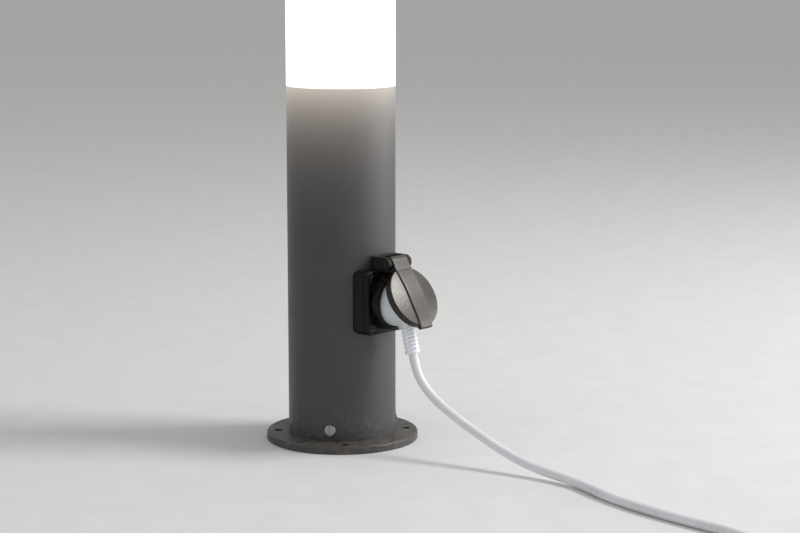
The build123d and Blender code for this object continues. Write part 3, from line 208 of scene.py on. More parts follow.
def spline_length(piece):
    """Length of a curve's own line, read from a copy that has no bevel."""
    bare = piece.copy()
    bare.data = piece.data.copy()
    bare.data.bevel_depth = 0
    bpy.context.scene.collection.objects.link(bare)
    mesh = bpy.data.meshes.new_from_object(bare.evaluated_get(
        bpy.context.evaluated_depsgraph_get()))
    spots = np.empty(len(mesh.vertices) * 3)
    mesh.vertices.foreach_get("co", spots)
    bpy.data.objects.remove(bare)
    bpy.data.meshes.remove(mesh)
    return np.linalg.norm(np.diff(spots.reshape(-1, 3), axis=0), axis=1).sum()


lead = cord_curve("lead", route, CORD_R)
lead_length = spline_length(lead)
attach(lead, POST)
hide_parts("lead_run", "lead_coil", "lead_tail")
print("the lead is", round(lead_length, 3), "m long")

# %% [markdown]
# ## A skin over a grid
#
# A sleeve or a strap is a loop carried along a line, so its surface is a grid of places: one
# row for each step along the line, one column for each step round the loop.
# The faces come from index arithmetic, and each end closes on the middle of its loop.

# %% Skin helper
SHARP_ANGLE = np.radians(40.0)


def skin(name, grids, body):
    """Closed mesh over grids of places: quads join each loop to the next, and a fan of
    triangles closes each end. Loops run anticlockwise seen against the row direction."""
    spots, faces, start = [], [], 0
    for rows in grids:
        count, around, _ = rows.shape
        near = start + np.arange(count * around).reshape(count, around)
        beside = np.roll(near, -1, axis=1)
        quads = np.stack([near[:-1], beside[:-1], beside[1:], near[1:]], -1)
        first = np.full(around, start + count * around)
        faces += quads.reshape(-1, 4).tolist()
        faces += np.stack([first, beside[0], near[0]], -1).tolist()
        faces += np.stack([first + 1, near[-1], beside[-1]], -1).tolist()
        spots.append(np.vstack([rows.reshape(-1, 3), rows[0].mean(0), rows[-1].mean(0)]))
        start += count * around + 2
    mesh = bpy.data.meshes.new(name)
    mesh.from_pydata(np.vstack(spots).tolist(), [], faces)
    mesh.shade_smooth()
    mesh.set_sharp_from_angle(angle=SHARP_ANGLE)
    piece = bpy.data.objects.new(name, mesh)
    bpy.context.scene.collection.objects.link(piece)
    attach(piece, body)
    print(name, "has", len(mesh.polygons), "faces")
    return piece


# %% [markdown]
# ## The lid
#
# The lid is one moulding: a crowned disc with a rounded rim, and a strap that wraps the hinge,
# runs down over the crown and ends in a finger tab. The strap is flat across where the disc
# is crowned, so its edge shows as a change of tone, and its corners are rounded.
# The solid's strap follows the crown, so its edges hardly show, and its face has a dark mark
# at the crown's pole. Bevelling a copy clears the mark but not the edges, so the lid is
# computed anew: the disc is a profile turned about its axis, and the strap is swept.

# %% Crowned disc
LID_LEAF = "lid_leaf"
LID_LEAN = np.radians(30.0)
HINGE = np.array([0.0, -56.0, 146.0]) * MM
lid_up = np.array([0.0, np.sin(LID_LEAN), np.cos(LID_LEAN)])
lid_out = np.array([0.0, -np.cos(LID_LEAN), np.sin(LID_LEAN)])
DISC_DROP = 30.0
LID_R = 24.5
FACE_R = 22.9
SHOULDER = 5.3
CROWN = 2.2
RIM_DROP = 1.5
SKIRT_R = 23.0
SEAT = 3.4
HOLLOW_R = 19.0
LID_WALL = 2.0
DISC_AROUND = 160
RIM_STEPS = 10
FACE_STEPS = 45
POLE_R = 0.05
HOLLOW_LEVEL = 5.1
SKIRT_ROUND = 0.2
LIP_ROUND = 0.3
ball = (FACE_R ** 2 + CROWN ** 2) / (2 * CROWN)


def lid_place(side, up, out):
    """Places in the lid's own frame, in millimetres from the hinge pin, as world places."""
    side, up, out = np.broadcast_arrays(side, up, out)
    return HINGE + MM * (side[..., None] * np.array([1.0, 0, 0]) + up[..., None] * lid_up
                         + out[..., None] * lid_out)


def crown_height(reach):
    """Height of the crowned face at a distance from its middle: a cap of a ball."""
    return SHOULDER + CROWN - ball + np.sqrt(ball ** 2 - reach ** 2)


def disc_rows():
    """Section of the disc, from the middle of its hollow round the rim to the middle of its
    crown, turned about the disc's axis. The rim is a quarter of an ellipse."""
    quarter = np.linspace(0, np.pi / 2, RIM_STEPS)
    rim = np.column_stack([FACE_R + (LID_R - FACE_R) * np.cos(quarter),
                           SHOULDER - RIM_DROP + RIM_DROP * np.sin(quarter)])
    reach = np.append(np.linspace(FACE_R, 0, FACE_STEPS)[1:-1], POLE_R)
    face = np.column_stack([reach, crown_height(reach)])
    inside = np.array([(POLE_R, SHOULDER + CROWN - LID_WALL), (HOLLOW_R / 2, HOLLOW_LEVEL),
                       (HOLLOW_R, SHOULDER - LID_WALL / 2), (HOLLOW_R, SEAT),
                       (SKIRT_R, SEAT), (SKIRT_R, SKIRT_ROUND), (SKIRT_R + SKIRT_ROUND, 0),
                       (LID_R - LIP_ROUND, 0), (LID_R, LIP_ROUND)])
    section = np.vstack([inside, rim, face])
    turn = np.linspace(0, 2 * np.pi, DISC_AROUND, endpoint=False)
    reach, height = section[:, :1], section[:, 1:]
    return lid_place(reach * np.cos(turn), reach * np.sin(turn) - DISC_DROP, height)


# %% [markdown]
# ## Strap and hinge barrel
#
# The strap is one section carried along a path. The path leaves the hinge on an arc round
# the pin, eases onto the crown and follows it to the finger tab, where a soft crease marks
# the place to lift. Two lines describe it, the top and one inside the disc, and a half width
# says how far it reaches to each side. The lines are written first, as functions of the way
# down from the pin, because the crown's own formula then gives the strap's height.

# %% Sizes of the strap
STRAP_W = 18.0
STRAP_END_W = 14.0
STRAP_STRAIGHT = 38.0
STRAP_END = 56.5
STRAP_RAISE = 1.0
STRAP_CORNER = 1.1
STRAP_EASE = 13.0
WRAP_R = 6.4
WRAP_ANGLE = np.radians(42.0)
WRAP_INNER_R = 4.4
GROOVE_AT = 8.6
GROOVE_T = 0.5
GROOVE_NEAR = 1.0
TAB_AT = 52.6
TAB_STEP = 0.3
TAB_EASE = 0.5
TAB_LOW = 2.5
TAB_FROM = 53.0
TAB_TO = 53.8
SINK = 0.8
SINK_FROM = 4.0
END_CORNER = 1.3
DRAW_EASE = 4.0
DRAW_STEP = 0.05
END_SHARE = 0.96
CORNER_SHARE = 0.98
WRAP_STEPS = 16
WAY_STEPS = 110
GROOVE_ROWS = 25
END_ROWS = 14
print("the strap is", STRAP_W, "mm wide and ends", STRAP_END, "mm below the pin")

# %% [markdown]
# ## Top, bottom and half width
#
# A smooth step, the ramp, eases one level into the next. The rows stand closer together at
# the groove and at the tab's end, where the lines turn most sharply.

# %% Lines of the strap
def ramp(value, low, high):
    """Smooth step from 0 to 1 between two limits: three squares less two cubes."""
    share = np.clip((value - low) / (high - low), 0, 1)
    return share * share * (3 - 2 * share)


def strap_lines():
    """Top and bottom lines of the strap as up and out, row by row from the hinge down. The
    top eases from the level of the wrap to the raised crown, and steps down at the tab."""
    turn = np.linspace(WRAP_ANGLE, 0, WRAP_STEPS)[:-1]
    down = np.unique(np.round(np.concatenate([
        np.linspace(0, STRAP_END, WAY_STEPS),
        np.linspace(GROOVE_AT - GROOVE_NEAR, GROOVE_AT + GROOVE_NEAR, GROOVE_ROWS),
        np.linspace(STRAP_END - END_CORNER, STRAP_END, END_ROWS)]), 3))
    raised = crown_height(down - DISC_DROP) + STRAP_RAISE
    top = WRAP_R + (raised - WRAP_R) * ramp(down, 0, STRAP_EASE)
    top = top - TAB_STEP * ramp(down, TAB_AT - TAB_EASE, TAB_AT + TAB_EASE)
    left = np.clip((down - STRAP_END + STRAP_CORNER) / STRAP_CORNER, 0, 1)
    top = top - STRAP_CORNER * (1 - np.sqrt(1 - END_SHARE * left ** 2))
    low = crown_height(np.minimum(np.abs(down - DISC_DROP), FACE_R)) - SINK
    low = WRAP_INNER_R + (low - WRAP_INNER_R) * ramp(down, SINK_FROM, STRAP_EASE)
    low = low + (TAB_LOW - low) * ramp(down, TAB_FROM, TAB_TO)
    arc = np.stack([np.sin(turn), np.cos(turn)], -1)
    return (np.vstack([WRAP_R * arc, np.column_stack([-down, top])]),
            np.vstack([WRAP_INNER_R * arc, np.column_stack([-down, low])]))


def strap_half(down):
    """Half width: even, then drawn in to the tab, with corners near to quarter circles."""
    bend = ramp(down, STRAP_STRAIGHT - DRAW_EASE, STRAP_STRAIGHT + DRAW_EASE)
    half = STRAP_W / 2 - bend * DRAW_STEP
    drawn = np.clip((down - STRAP_STRAIGHT) / (STRAP_END - STRAP_STRAIGHT), 0, 1)
    half = half - (STRAP_W - STRAP_END_W) / 2 * drawn
    past = np.clip((down - STRAP_END + END_CORNER) / END_CORNER, 0, 1)
    return half - END_CORNER * (1 - np.sqrt(1 - CORNER_SHARE * past ** 2))


# %% [markdown]
# ## Section of the strap
#
# A moulded strap has flanks, round top corners and a flat top. The section is written as three
# short lists, the side, the inset and the drop of each point, so one formula serves every row.
# A shallow groove crosses the top just below the hinge: it lowers the top of the rows near it,
# and stops short of both edges.

# %% Strap
CORNER_STEPS = 7
TOP_STEPS = 17
WALL_SHARE = 0.35
GROOVE_FLAT = 0.3
GROOVE_FLANK = 0.6
GROOVE_HALF = 7.0
GROOVE_END = 7.4
FULL_DROP = 0.98
TOP_SHARE = 0.9


def strap_rows():
    """Grid of the strap: up one side, round its corner, over the top and down again. Each
    place is a share of the way from the bottom line to the top line, and lies to the side by
    the half width less the corner's inset."""
    top, low = strap_lines()
    half = strap_half(-top[:, 0])[:, None]
    bend = np.linspace(0, np.pi / 2, CORNER_STEPS)
    flat = np.linspace(1, -1, TOP_STEPS)[1:-1]
    corner = np.ones(CORNER_STEPS)
    right = np.concatenate([[1.0, 1.0], corner, flat, -corner, [-1.0, -1.0]])
    inset = np.concatenate([[0, 0], 1 - np.cos(bend), flat * 0, 1 - np.cos(bend[::-1]),
                            [0, 0]]) * STRAP_CORNER
    drop = np.concatenate([[0, 0], 1 - np.sin(bend), flat * 0, 1 - np.sin(bend[::-1]),
                           [0, 0]]) * STRAP_CORNER
    on_top = np.abs(right) < 1
    edge = half - np.where(on_top, STRAP_CORNER, inset)
    side = right * edge
    tall = np.linalg.norm(top - low, axis=1)[:, None]
    share = 1 - np.minimum(drop / tall, FULL_DROP)
    share = np.where(np.isin(np.arange(len(right)), [1, len(right) - 2]), WALL_SHARE, share)
    share = np.where(np.isin(np.arange(len(right)), [0, len(right) - 1]), 0.0, share)
    nick = (1 - ramp(np.abs(-top[:, :1] - GROOVE_AT), GROOVE_FLAT, GROOVE_FLANK)) * (
        1 - ramp(np.abs(side), GROOVE_HALF, GROOVE_END))
    share = share - np.where(share > TOP_SHARE, nick * GROOVE_T / tall, 0)
    spot = low[:, None, :] + share[..., None] * (top - low)[:, None, :]
    return lid_place(side, spot[..., 0], spot[..., 1])


# %% [markdown]
# ## The lid as one piece
#
# Two cheeks of the hinge barrel stand either side of the spring and join the disc. Each is an
# outline carried across the hinge pin: most of a circle, with a straight neck to the disc.

# %% Hinge cheeks and the whole lid
KNUCKLE_R = 5.0
NECK_REACH = 8.7
NECK_TOP = 5.6
SLOT_HALF = 4.3
CHEEK_CORNER = 0.3
CHEEK_SHRINK = 0.94
CHEEK_STEPS = 40


def cheek_rows(inner, outer):
    """Outline of one cheek, three quarters of a circle and a straight neck, carried from its
    inner to its outer face. The first and last loops are a little smaller."""
    arc = np.linspace(-np.pi, np.pi / 2, CHEEK_STEPS)
    ring = np.column_stack([KNUCKLE_R * np.cos(arc), KNUCKLE_R * np.sin(arc)])
    line = np.vstack([[(-NECK_REACH, 0.0)], ring, [(0.0, NECK_TOP), (-NECK_REACH, NECK_TOP)]])
    side = np.array([inner, inner + CHEEK_CORNER, outer - CHEEK_CORNER, outer])[:, None]
    scale = np.array([CHEEK_SHRINK, 1.0, 1.0, CHEEK_SHRINK])[:, None]
    return lid_place(side, line[:, 0] * scale, line[:, 1] * scale)


lid = skin("lid_shell", [disc_rows(), strap_rows(), cheek_rows(-STRAP_W / 2, -SLOT_HALF),
                         cheek_rows(SLOT_HALF, STRAP_W / 2)], LID_LEAF)
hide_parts("lid")

# %% [markdown]
# ## The bend sleeves
#
# Where a lead leaves a plug, a soft moulded sleeve spreads the bend. Grooves make it limp, and
# four bars along it hold the rings together, so the grooves show as rows of short slots.
# A turned body with cuts would need many booleans; as one surface it is a formula: the radius
# is the ring's wherever a ring or a bar is, and the core's elsewhere, with soft flanks.

# %% Sleeves at both ends of the lead
SLEEVE_BARS = 4
BAR_HALF = np.radians(12.0)
BAR_EDGE = np.radians(5.0)
SLEEVE_STEPS = 200
SLEEVE_AROUND = 96
SLEEVE_CUFF = 0.7
SLEEVE_CUFF_EDGE = 0.9
SLEEVE_GROOVE = 0.16
SLEEVE_GROOVE_EDGE = 0.26
SLEEVE_END_DROP = 0.35 * MM
SLEEVE_END_REACH = 0.6 * MM
RELIEF_R = 5.8 * MM
RELIEF_CORE_R = 4.55 * MM


def sleeve_radius(along, angle, length, rings, wide, narrow, core):
    """Radius of a bend sleeve: the outer radius changes from one end to the other, and
    between the rings and the bars it drops by the same depth to the core. The far end is a
    plain cuff, and both ends are rounded."""
    outer = wide + (narrow - wide) * along / length
    pitch = length / (rings + SLEEVE_CUFF)
    phase = np.abs((along / pitch) % 1.0 - 0.5)
    groove = 1 - ramp(phase, SLEEVE_GROOVE, SLEEVE_GROOVE_EDGE)
    groove = groove * ramp(length - along, SLEEVE_CUFF * pitch, SLEEVE_CUFF_EDGE * pitch)
    turn = 2 * np.pi / SLEEVE_BARS
    off_bar = np.abs((angle + turn / 2) % turn - turn / 2)
    open_share = ramp(off_bar, BAR_HALF, BAR_HALF + BAR_EDGE)
    to_end = np.minimum(along, length - along)
    soft_end = SLEEVE_END_DROP * (1 - ramp(to_end, 0, SLEEVE_END_REACH))
    return outer - (wide - core) * groove * open_share - soft_end


def bend_sleeve(name, start, way, side, length, rings, wide, narrow, core):
    """The sleeve's surface: the radius function turned round a straight line."""
    along = np.linspace(0, length, SLEEVE_STEPS)[:, None]
    angle = np.linspace(0, 2 * np.pi, SLEEVE_AROUND, endpoint=False)[None, :]
    radius = sleeve_radius(along, angle, length, rings, wide, narrow, core)
    other = np.cross(way, side)
    rows = (start + along[..., None] * way
            + (radius * np.cos(angle))[..., None] * side
            + (radius * np.sin(angle))[..., None] * other)
    return skin(name, [rows], POST)


plug_sleeve = bend_sleeve("plug_bend_sleeve", RELIEF_TOP, relief_way, np.array([1.0, 0, 0]),
                          RELIEF_L, 6, RELIEF_R, RELIEF_R, RELIEF_CORE_R)
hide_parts("plug_strain_relief")
COUPLER_NECK_R = 9.5 * MM
COUPLER_RELIEF_L = 30.0 * MM
coupler_sleeve = bend_sleeve("coupler_bend_sleeve", COUPLER_TIP, np.array([1.0, 0, 0]),
                             np.array([0, 1.0, 0]), COUPLER_RELIEF_L, 8, RELIEF_R,
                             COUPLER_NECK_R, RELIEF_CORE_R)
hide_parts("coupler_relief")

# %% [markdown]
# ## The tie
#
# Spare lead is put away with a strap round the coil. The strap is a flat band that goes once
# round the bundle and a little over a quarter turn over itself. Its line is a superellipse,
# which hugs two layers of cord with round corners, and it steps out by a little more than
# one thickness for each turn.

# %% Strap round the coil
TIE_ANGLE = np.radians(20.0)
TIE_W = 11.0 * MM
TIE_T = 0.9 * MM
TIE_TURNS = 1.3
TIE_HALF_W = 14.9 * MM
TIE_HALF_H = 7.5 * MM
TIE_SQUARE = 6
TIE_STEPS = 180
TIE_AROUND = 12
TIE_START = 0.3 * np.pi
TIE_GROWTH = 1.08
THICK_POWER = 0.5
WIDE_POWER = 0.25
FLOOR_GAP = 0.02 * MM


def tie_rows():
    """Grid of the strap: a small rounded oblong carried round a superellipse in the upright
    plane that crosses the coil at one angle. Both are a sine and a cosine raised to a power
    with their signs kept, and the size grows by a little more than one thickness a turn."""
    turn = np.linspace(0, 2 * np.pi * TIE_TURNS, TIE_STEPS) + TIE_START
    share = np.linspace(0, -2 * np.pi, TIE_AROUND, endpoint=False)
    grown = TIE_T * (turn - turn[0]) / (2 * np.pi) * TIE_GROWTH
    flat, rise = np.cos(turn), np.sin(turn)
    bulge = 2 / TIE_SQUARE
    reach = (TIE_HALF_W + grown) * np.sign(flat) * np.abs(flat) ** bulge
    height = (TIE_HALF_H + grown) * np.sign(rise) * np.abs(rise) ** bulge
    line = np.stack([reach, height], -1)
    way = np.gradient(line, axis=0)
    out = np.stack([way[:, 1], -way[:, 0]], -1)
    out /= np.linalg.norm(out, axis=1, keepdims=True)
    thick = TIE_T / 2 * np.sign(np.sin(share)) * np.abs(np.sin(share)) ** THICK_POWER
    wide = TIE_W / 2 * np.sign(np.cos(share)) * np.abs(np.cos(share)) ** WIDE_POWER
    place = line[:, None, :] + out[:, None, :] * thick[None, :, None]
    radial = np.array([np.cos(TIE_ANGLE), np.sin(TIE_ANGLE), 0.0])
    across = np.array([-radial[1], radial[0], 0.0])
    middle = np.append(COIL_CENTRE, 0.0) + COIL_MID_R * radial
    middle[2] = TIE_HALF_H + TIE_T
    rows = (middle + place[..., :1] * radial + place[..., 1:] * upright
            + wide[None, :, None] * across)
    return np.maximum(rows, [-np.inf, -np.inf, FLOOR_GAP])


tie = skin("lead_tie", [tie_rows()], POST)

# %% [markdown]
# ## Building blocks for finishes
#
# Every finish is a small tree of shader nodes that reads Object coordinates in metres, so a
# grain has the same real size on each piece. An effect that several finishes share is a node
# group: built once, with named inputs, and placed in each material with its own values.

# %% Node helpers
def add(tree, kind, inputs=None, **settings):
    """Adds a node: an input given a socket is linked to it, any other value is set."""
    node = tree.nodes.new(kind)
    for key, value in settings.items():
        setattr(node, key, value)
    for key, value in (inputs or {}).items():
        if isinstance(value, bpy.types.NodeSocket):
            tree.links.new(value, node.inputs[key])
        else:
            node.inputs[key].default_value = value
    return node


def math(tree, operation, first, second=0.0):
    """Result of one sum on two values or sockets."""
    return add(tree, "ShaderNodeMath", {0: first, 1: second}, operation=operation).outputs[0]


def spread(tree, value, low, high, to_low=0.0, to_high=1.0):
    """Value moved from one range to another, smoothly and without going past the ends."""
    return add(tree, "ShaderNodeMapRange",
               {"Value": value, "From Min": low, "From Max": high,
                "To Min": to_low, "To Max": to_high},
               interpolation_type="SMOOTHSTEP").outputs["Result"]


def place(tree):
    """Object coordinates, in metres."""
    return add(tree, "ShaderNodeTexCoord").outputs["Object"]


def noise(tree, vector, scale, detail=3.0, rough=0.55):
    """Noise between 0 and 1, with a scale in cells per metre."""
    return add(tree, "ShaderNodeTexNoise", {"Vector": vector, "Scale": scale,
               "Detail": detail, "Roughness": rough}).outputs["Fac"]


# %% [markdown]
# ## Node groups
#
# A node group is a small tree with its own named sockets. Its values can then differ in each
# material that uses it, while the effect itself is written once.

# %% Group helpers
FLOAT, COLOUR = "NodeSocketFloat", "NodeSocketColor"


def new_group(name, inputs, outputs):
    """Starts a node group: named inputs with their first values, and named outputs."""
    tree = bpy.data.node_groups.new(name, "ShaderNodeTree")
    for label, value in inputs.items():
        kind = COLOUR if isinstance(value, tuple) else FLOAT
        socket = tree.interface.new_socket(label, in_out="INPUT", socket_type=kind)
        socket.default_value = value
    for label, kind in outputs.items():
        tree.interface.new_socket(label, in_out="OUTPUT", socket_type=kind)
    print("group", name, "takes", len(inputs), "values")
    return (tree, tree.nodes.new("NodeGroupInput").outputs,
            tree.nodes.new("NodeGroupOutput").inputs)


def use(tree, group, **values):
    """Places a group in a material; underscores in a name stand for spaces."""
    node = add(tree, "ShaderNodeGroup", node_tree=group)
    for label, value in values.items():
        socket = node.inputs[label.replace("_", " ")]
        if isinstance(value, bpy.types.NodeSocket):
            tree.links.new(value, socket)
        else:
            socket.default_value = value
    return node.outputs


# %% [markdown]
# ## Mottle
#
# No moulding or coat is one exact colour: pigment, thickness and handling shift it by a few
# per cent over some centimetres. The group scales a colour by slow noise, and hands out the
# same noise as a tone, so that roughness can follow it.

# %% Mottle group
GREY = (0.5, 0.5, 0.5, 1.0)
mottle, given, result = new_group("mottle", {"Colour": GREY, "Spread": 0.08, "Scale": 30.0},
                                  {"Colour": COLOUR, "Tone": FLOAT})
slow = noise(mottle, place(mottle), given["Scale"], 4.0)
tone = spread(mottle, slow, 0.3, 0.7, -1.0, 1.0)
factor = math(mottle, "ADD", math(mottle, "MULTIPLY", tone, given["Spread"]), 1.0)
shifted = add(mottle, "ShaderNodeVectorMath", {0: given["Colour"], "Scale": factor},
              operation="SCALE")
mottle.links.new(shifted.outputs[0], result["Colour"])
mottle.links.new(tone, result["Tone"])

# %% [markdown]
# ## Eroded grain
#
# The moulds of the lid and the socket are spark eroded, which leaves small flats between small
# pits, and a fine powder coat cures into much the same relief. Plain noise looks like soft
# hills; pushing it through a steep ramp gives the flats, and a second finer layer the pits.

# %% Grain group
grain, given, result = new_group("eroded_grain", {"Scale": 900.0, "Softness": 0.1},
                                 {"Height": FLOAT, "Speck": FLOAT})
where = place(grain)
coarse = noise(grain, where, given["Scale"], 2.0, 0.6)
flats = spread(grain, coarse, math(grain, "SUBTRACT", 0.5, given["Softness"]),
               math(grain, "ADD", 0.5, given["Softness"]))
fine = noise(grain, where, math(grain, "MULTIPLY", given["Scale"], 2.7), 2.0, 0.6)
height = math(grain, "ADD", math(grain, "MULTIPLY", flats, 0.7),
              math(grain, "MULTIPLY", fine, 0.3))
grain.links.new(height, result["Height"])
grain.links.new(spread(grain, fine, 0.45, 0.75), result["Speck"])

# %% [markdown]
# ## Settled dust
#
# Outdoors, fine dust stays where a surface faces up. The face's own normal gives that, and
# noise breaks it up, so ledges and the tops of mouldings turn a little pale.

# %% Dust group
dust, given, result = new_group(
    "settled_dust", {"Colour": GREY, "Dust": (0.42, 0.38, 0.32, 1.0), "Amount": 0.3,
                     "Scale": 160.0}, {"Colour": COLOUR, "Mask": FLOAT})
facing = add(dust, "ShaderNodeNewGeometry").outputs["Normal"]
up = add(dust, "ShaderNodeSeparateXYZ", {0: facing}).outputs["Z"]
broken = spread(dust, noise(dust, place(dust), given["Scale"], 5.0, 0.65), 0.35, 0.7)
lying = math(dust, "MULTIPLY", spread(dust, up, 0.35, 1.0), broken)
mask = math(dust, "MULTIPLY", lying, given["Amount"])
mixed = add(dust, "ShaderNodeMix", {"Factor": mask, 6: given["Colour"], 7: given["Dust"]},
            data_type="RGBA")
dust.links.new(mixed.outputs[2], result["Colour"])
dust.links.new(mask, result["Mask"])

# %% [markdown]
# ## Rain splash
#
# Rain throws soil at the lowest part of anything that stands on the ground. The group gives a
# mask that is full at the floor, fades with height, and is broken into drops by noise.

# %% Splash group
splash, given, result = new_group("rain_splash", {"Reach": 0.06, "Scale": 240.0},
                                  {"Mask": FLOAT})
where = place(splash)
low = add(splash, "ShaderNodeSeparateXYZ", {0: where}).outputs["Z"]
fade = math(splash, "SUBTRACT", 1.0, math(splash, "DIVIDE", low, given["Reach"]))
fade = math(splash, "MAXIMUM", fade, 0.0)
drops = spread(splash, noise(splash, where, given["Scale"], 5.0, 0.7), 0.45, 0.65)
splash.links.new(math(splash, "MULTIPLY", math(splash, "MULTIPLY", fade, fade), drops),
                 result["Mask"])

# %% [markdown]
# ## Light spilled by the lamp, painted on as a glow
#
# The opal head's light next to its joints is painted into the metal as a glow that the coat
# gives out itself: a warm veil of painted light, brightest at the edge and gone within a few
# centimetres. Its strength is a falling exponential of the distance from the edge, which is
# how such a glow looks in the photograph.

# %% Spill group
spill, given, result = new_group(
    "painted_lamp_spill", {"Tint": (1.0, 0.88, 0.77, 1.0), "Edge": 0.28, "Side": -1.0,
                   "Fade": 0.024}, {"Colour": COLOUR})
rise = add(spill, "ShaderNodeSeparateXYZ", {0: place(spill)}).outputs["Z"]
away = math(spill, "MULTIPLY", math(spill, "SUBTRACT", rise, given["Edge"]), given["Side"])
away = math(spill, "DIVIDE", math(spill, "MAXIMUM", away, 0.0), given["Fade"])
veil = math(spill, "EXPONENT", math(spill, "MULTIPLY", away, -1.0))
lit = add(spill, "ShaderNodeVectorMath", {0: given["Tint"], "Scale": veil}, operation="SCALE")
spill.links.new(lit.outputs[0], result["Colour"])

# %% [markdown]
# ## One finish, many values
#
# Most finishes here share a plan: a mottled colour, a roughness that follows the mottle, and
# a grain seen as bumps. One function lays that plan, and each finish adds what is its own.
# Numbers that are the same all over stand on the shader's own sockets.

# %% Finish helper
def dress(material, names):
    """Gives each named piece this one material."""
    print(material.name, "dresses", ", ".join(names))
    for name in names:
        piece = nodes[name] if name in nodes else bpy.data.objects[name]
        piece.data.materials.clear()
        piece.data.materials.append(material)


def finish(name, colour, rough, spread_share=0.08, grain_scale=900.0, depth=0.02,
           softness=0.1, swing=0.06, **sockets):
    """Material with a mottled colour, a roughness that swings with the tone, and a grain
    whose relief is the given depth in millimetres. Returns its tree, shader and tone."""
    material = bpy.data.materials.new(name)
    material.use_nodes = True
    tree = material.node_tree
    shader = tree.nodes["Principled BSDF"]
    tones = use(tree, mottle, Colour=(*colour, 1.0), Spread=spread_share)
    relief = use(tree, grain, Scale=grain_scale, Softness=softness)
    rough_now = math(tree, "ADD", math(tree, "MULTIPLY", tones["Tone"], swing), rough)
    bump = add(tree, "ShaderNodeBump", {"Height": relief["Height"], "Strength": 1.0,
                                        "Distance": depth * MM})
    tree.links.new(tones["Colour"], shader.inputs["Base Color"])
    tree.links.new(rough_now, shader.inputs["Roughness"])
    tree.links.new(bump.outputs["Normal"], shader.inputs["Normal"])
    for label, value in sockets.items():
        shader.inputs[label.replace("_", " ")].default_value = value
    return material, tree, shader, tones, relief


# %% [markdown]
# ## Anthracite powder coat
#
# The tube, foot and cap are sprayed with a fine-textured anthracite powder, which is satin and
# close to a neutral grey. The tube and the cap also carry the lamp's spill as painted light,
# a glow that the coat gives out itself, and what is near the ground has a little soil on it.

# %% Anthracite
ANTHRACITE = (0.052, 0.052, 0.054)
SOIL = (0.16, 0.12, 0.08, 1.0)
JOINT_Z = 0.2803
CAP_JOINT_Z = 0.4306


def powder_coat(name, spill_strength, edge, side, fade=0.024):
    """The coat with soil at its foot, dust on top, and the lamp's spill from one edge as
    painted light.
    """
    material, tree, shader, tones, relief = finish(
        name, ANTHRACITE, 0.47, 0.06, grain_scale=1500.0, depth=0.018,
        Specular_IOR_Level=0.5, Emission_Strength=spill_strength)
    soiled = add(tree, "ShaderNodeMix",
                 {"Factor": math(tree, "MULTIPLY", use(tree, splash)["Mask"], 0.55),
                  6: tones["Colour"], 7: SOIL}, data_type="RGBA")
    dusty = use(tree, dust, Colour=soiled.outputs[2], Amount=0.22)
    tree.links.new(dusty["Colour"], shader.inputs["Base Color"])
    # Painted light: the lamp's spill is given out by the coat itself as emission.
    glow = use(tree, spill, Edge=edge, Side=side, Fade=fade)
    tree.links.new(glow["Colour"], shader.inputs["Emission Color"])
    return material


dress(powder_coat("anthracite", 0.0, JOINT_Z, -1.0), ["base_plate"])
# The tube and the cap get lit copies of the coat; their glow is painted light.
dress(powder_coat("anthracite_painted_glow_below_lamp", 0.52, JOINT_Z, -1.0), ["post_tube"])
dress(powder_coat("anthracite_painted_glow_above_lamp", 0.4, CAP_JOINT_Z, 1.0, 0.0045), ["top_cap"])

# %% [markdown]
# ## Black and dark mouldings
#
# The saddle, socket and housing are plain black thermoplastic, satin from the mould. The lid
# is the same kind of plastic in an eroded mould: paler, because the flats of its strong grain
# catch the light, and faintly brown from age and dust. That skin is a coat whose weight the
# grain breaks up. It stops at the shoulder, where the rim is smooth, and there the colour
# turns
# near black: painted shade on the rim.

# %% Black mouldings and lid
material, tree, shader, tones, relief = finish(
    "black_moulding", (0.004, 0.004, 0.0042), 0.36, 0.1, grain_scale=1100.0, depth=0.012,
    Specular_IOR_Level=0.2)
dusty = use(tree, dust, Colour=tones["Colour"], Amount=0.12)
tree.links.new(dusty["Colour"], shader.inputs["Base Color"])
dress(material, slot_nodes["black_moulding"])

LID_TONE = (0.03, 0.025, 0.022)
# The rim's near-black colour is painted shade on the rim's side.
RIM_PAINTED_SHADE = (0.005, 0.005, 0.005, 1.0)
material, tree, shader, tones, relief = finish(
    "lid_moulding", LID_TONE, 0.36, 0.12, grain_scale=560.0, depth=0.05, softness=0.06,
    Specular_IOR_Level=0.5, Specular_Tint=(1.0, 0.94, 0.87, 1.0), Coat_Roughness=0.36,
    Coat_Tint=(1.0, 0.96, 0.91, 1.0))
height = add(tree, "ShaderNodeVectorMath", {0: place(tree), 1: lid_out.tolist()},
             operation="DOT_PRODUCT").outputs["Value"]
SHOULDER_LEVEL = float(HINGE @ lid_out) + SHOULDER * MM
on_face = spread(tree, height, SHOULDER_LEVEL - 0.4 * MM, SHOULDER_LEVEL)
specked = add(tree, "ShaderNodeMix",
              {"Factor": math(tree, "MULTIPLY", relief["Speck"], 0.75),
               6: tones["Colour"], 7: (0.008, 0.007, 0.006, 1.0)}, data_type="RGBA")
dusty = use(tree, dust, Colour=specked.outputs[2], Amount=0.12)
# Below the shoulder the base colour turns to the painted rim shade.
tone_with_painted_rim_shade = add(tree, "ShaderNodeMix", {"Factor": on_face, 6: RIM_PAINTED_SHADE,
                                          7: dusty["Colour"]}, data_type="RGBA")
tree.links.new(tone_with_painted_rim_shade.outputs[2], shader.inputs["Base Color"])
polished = math(tree, "MULTIPLY", on_face,
                spread(tree, relief["Speck"], 0.0, 0.35, 1.0, 0.35))
tree.links.new(polished, shader.inputs["Coat Weight"])
dress(material, ["lid_shell"])

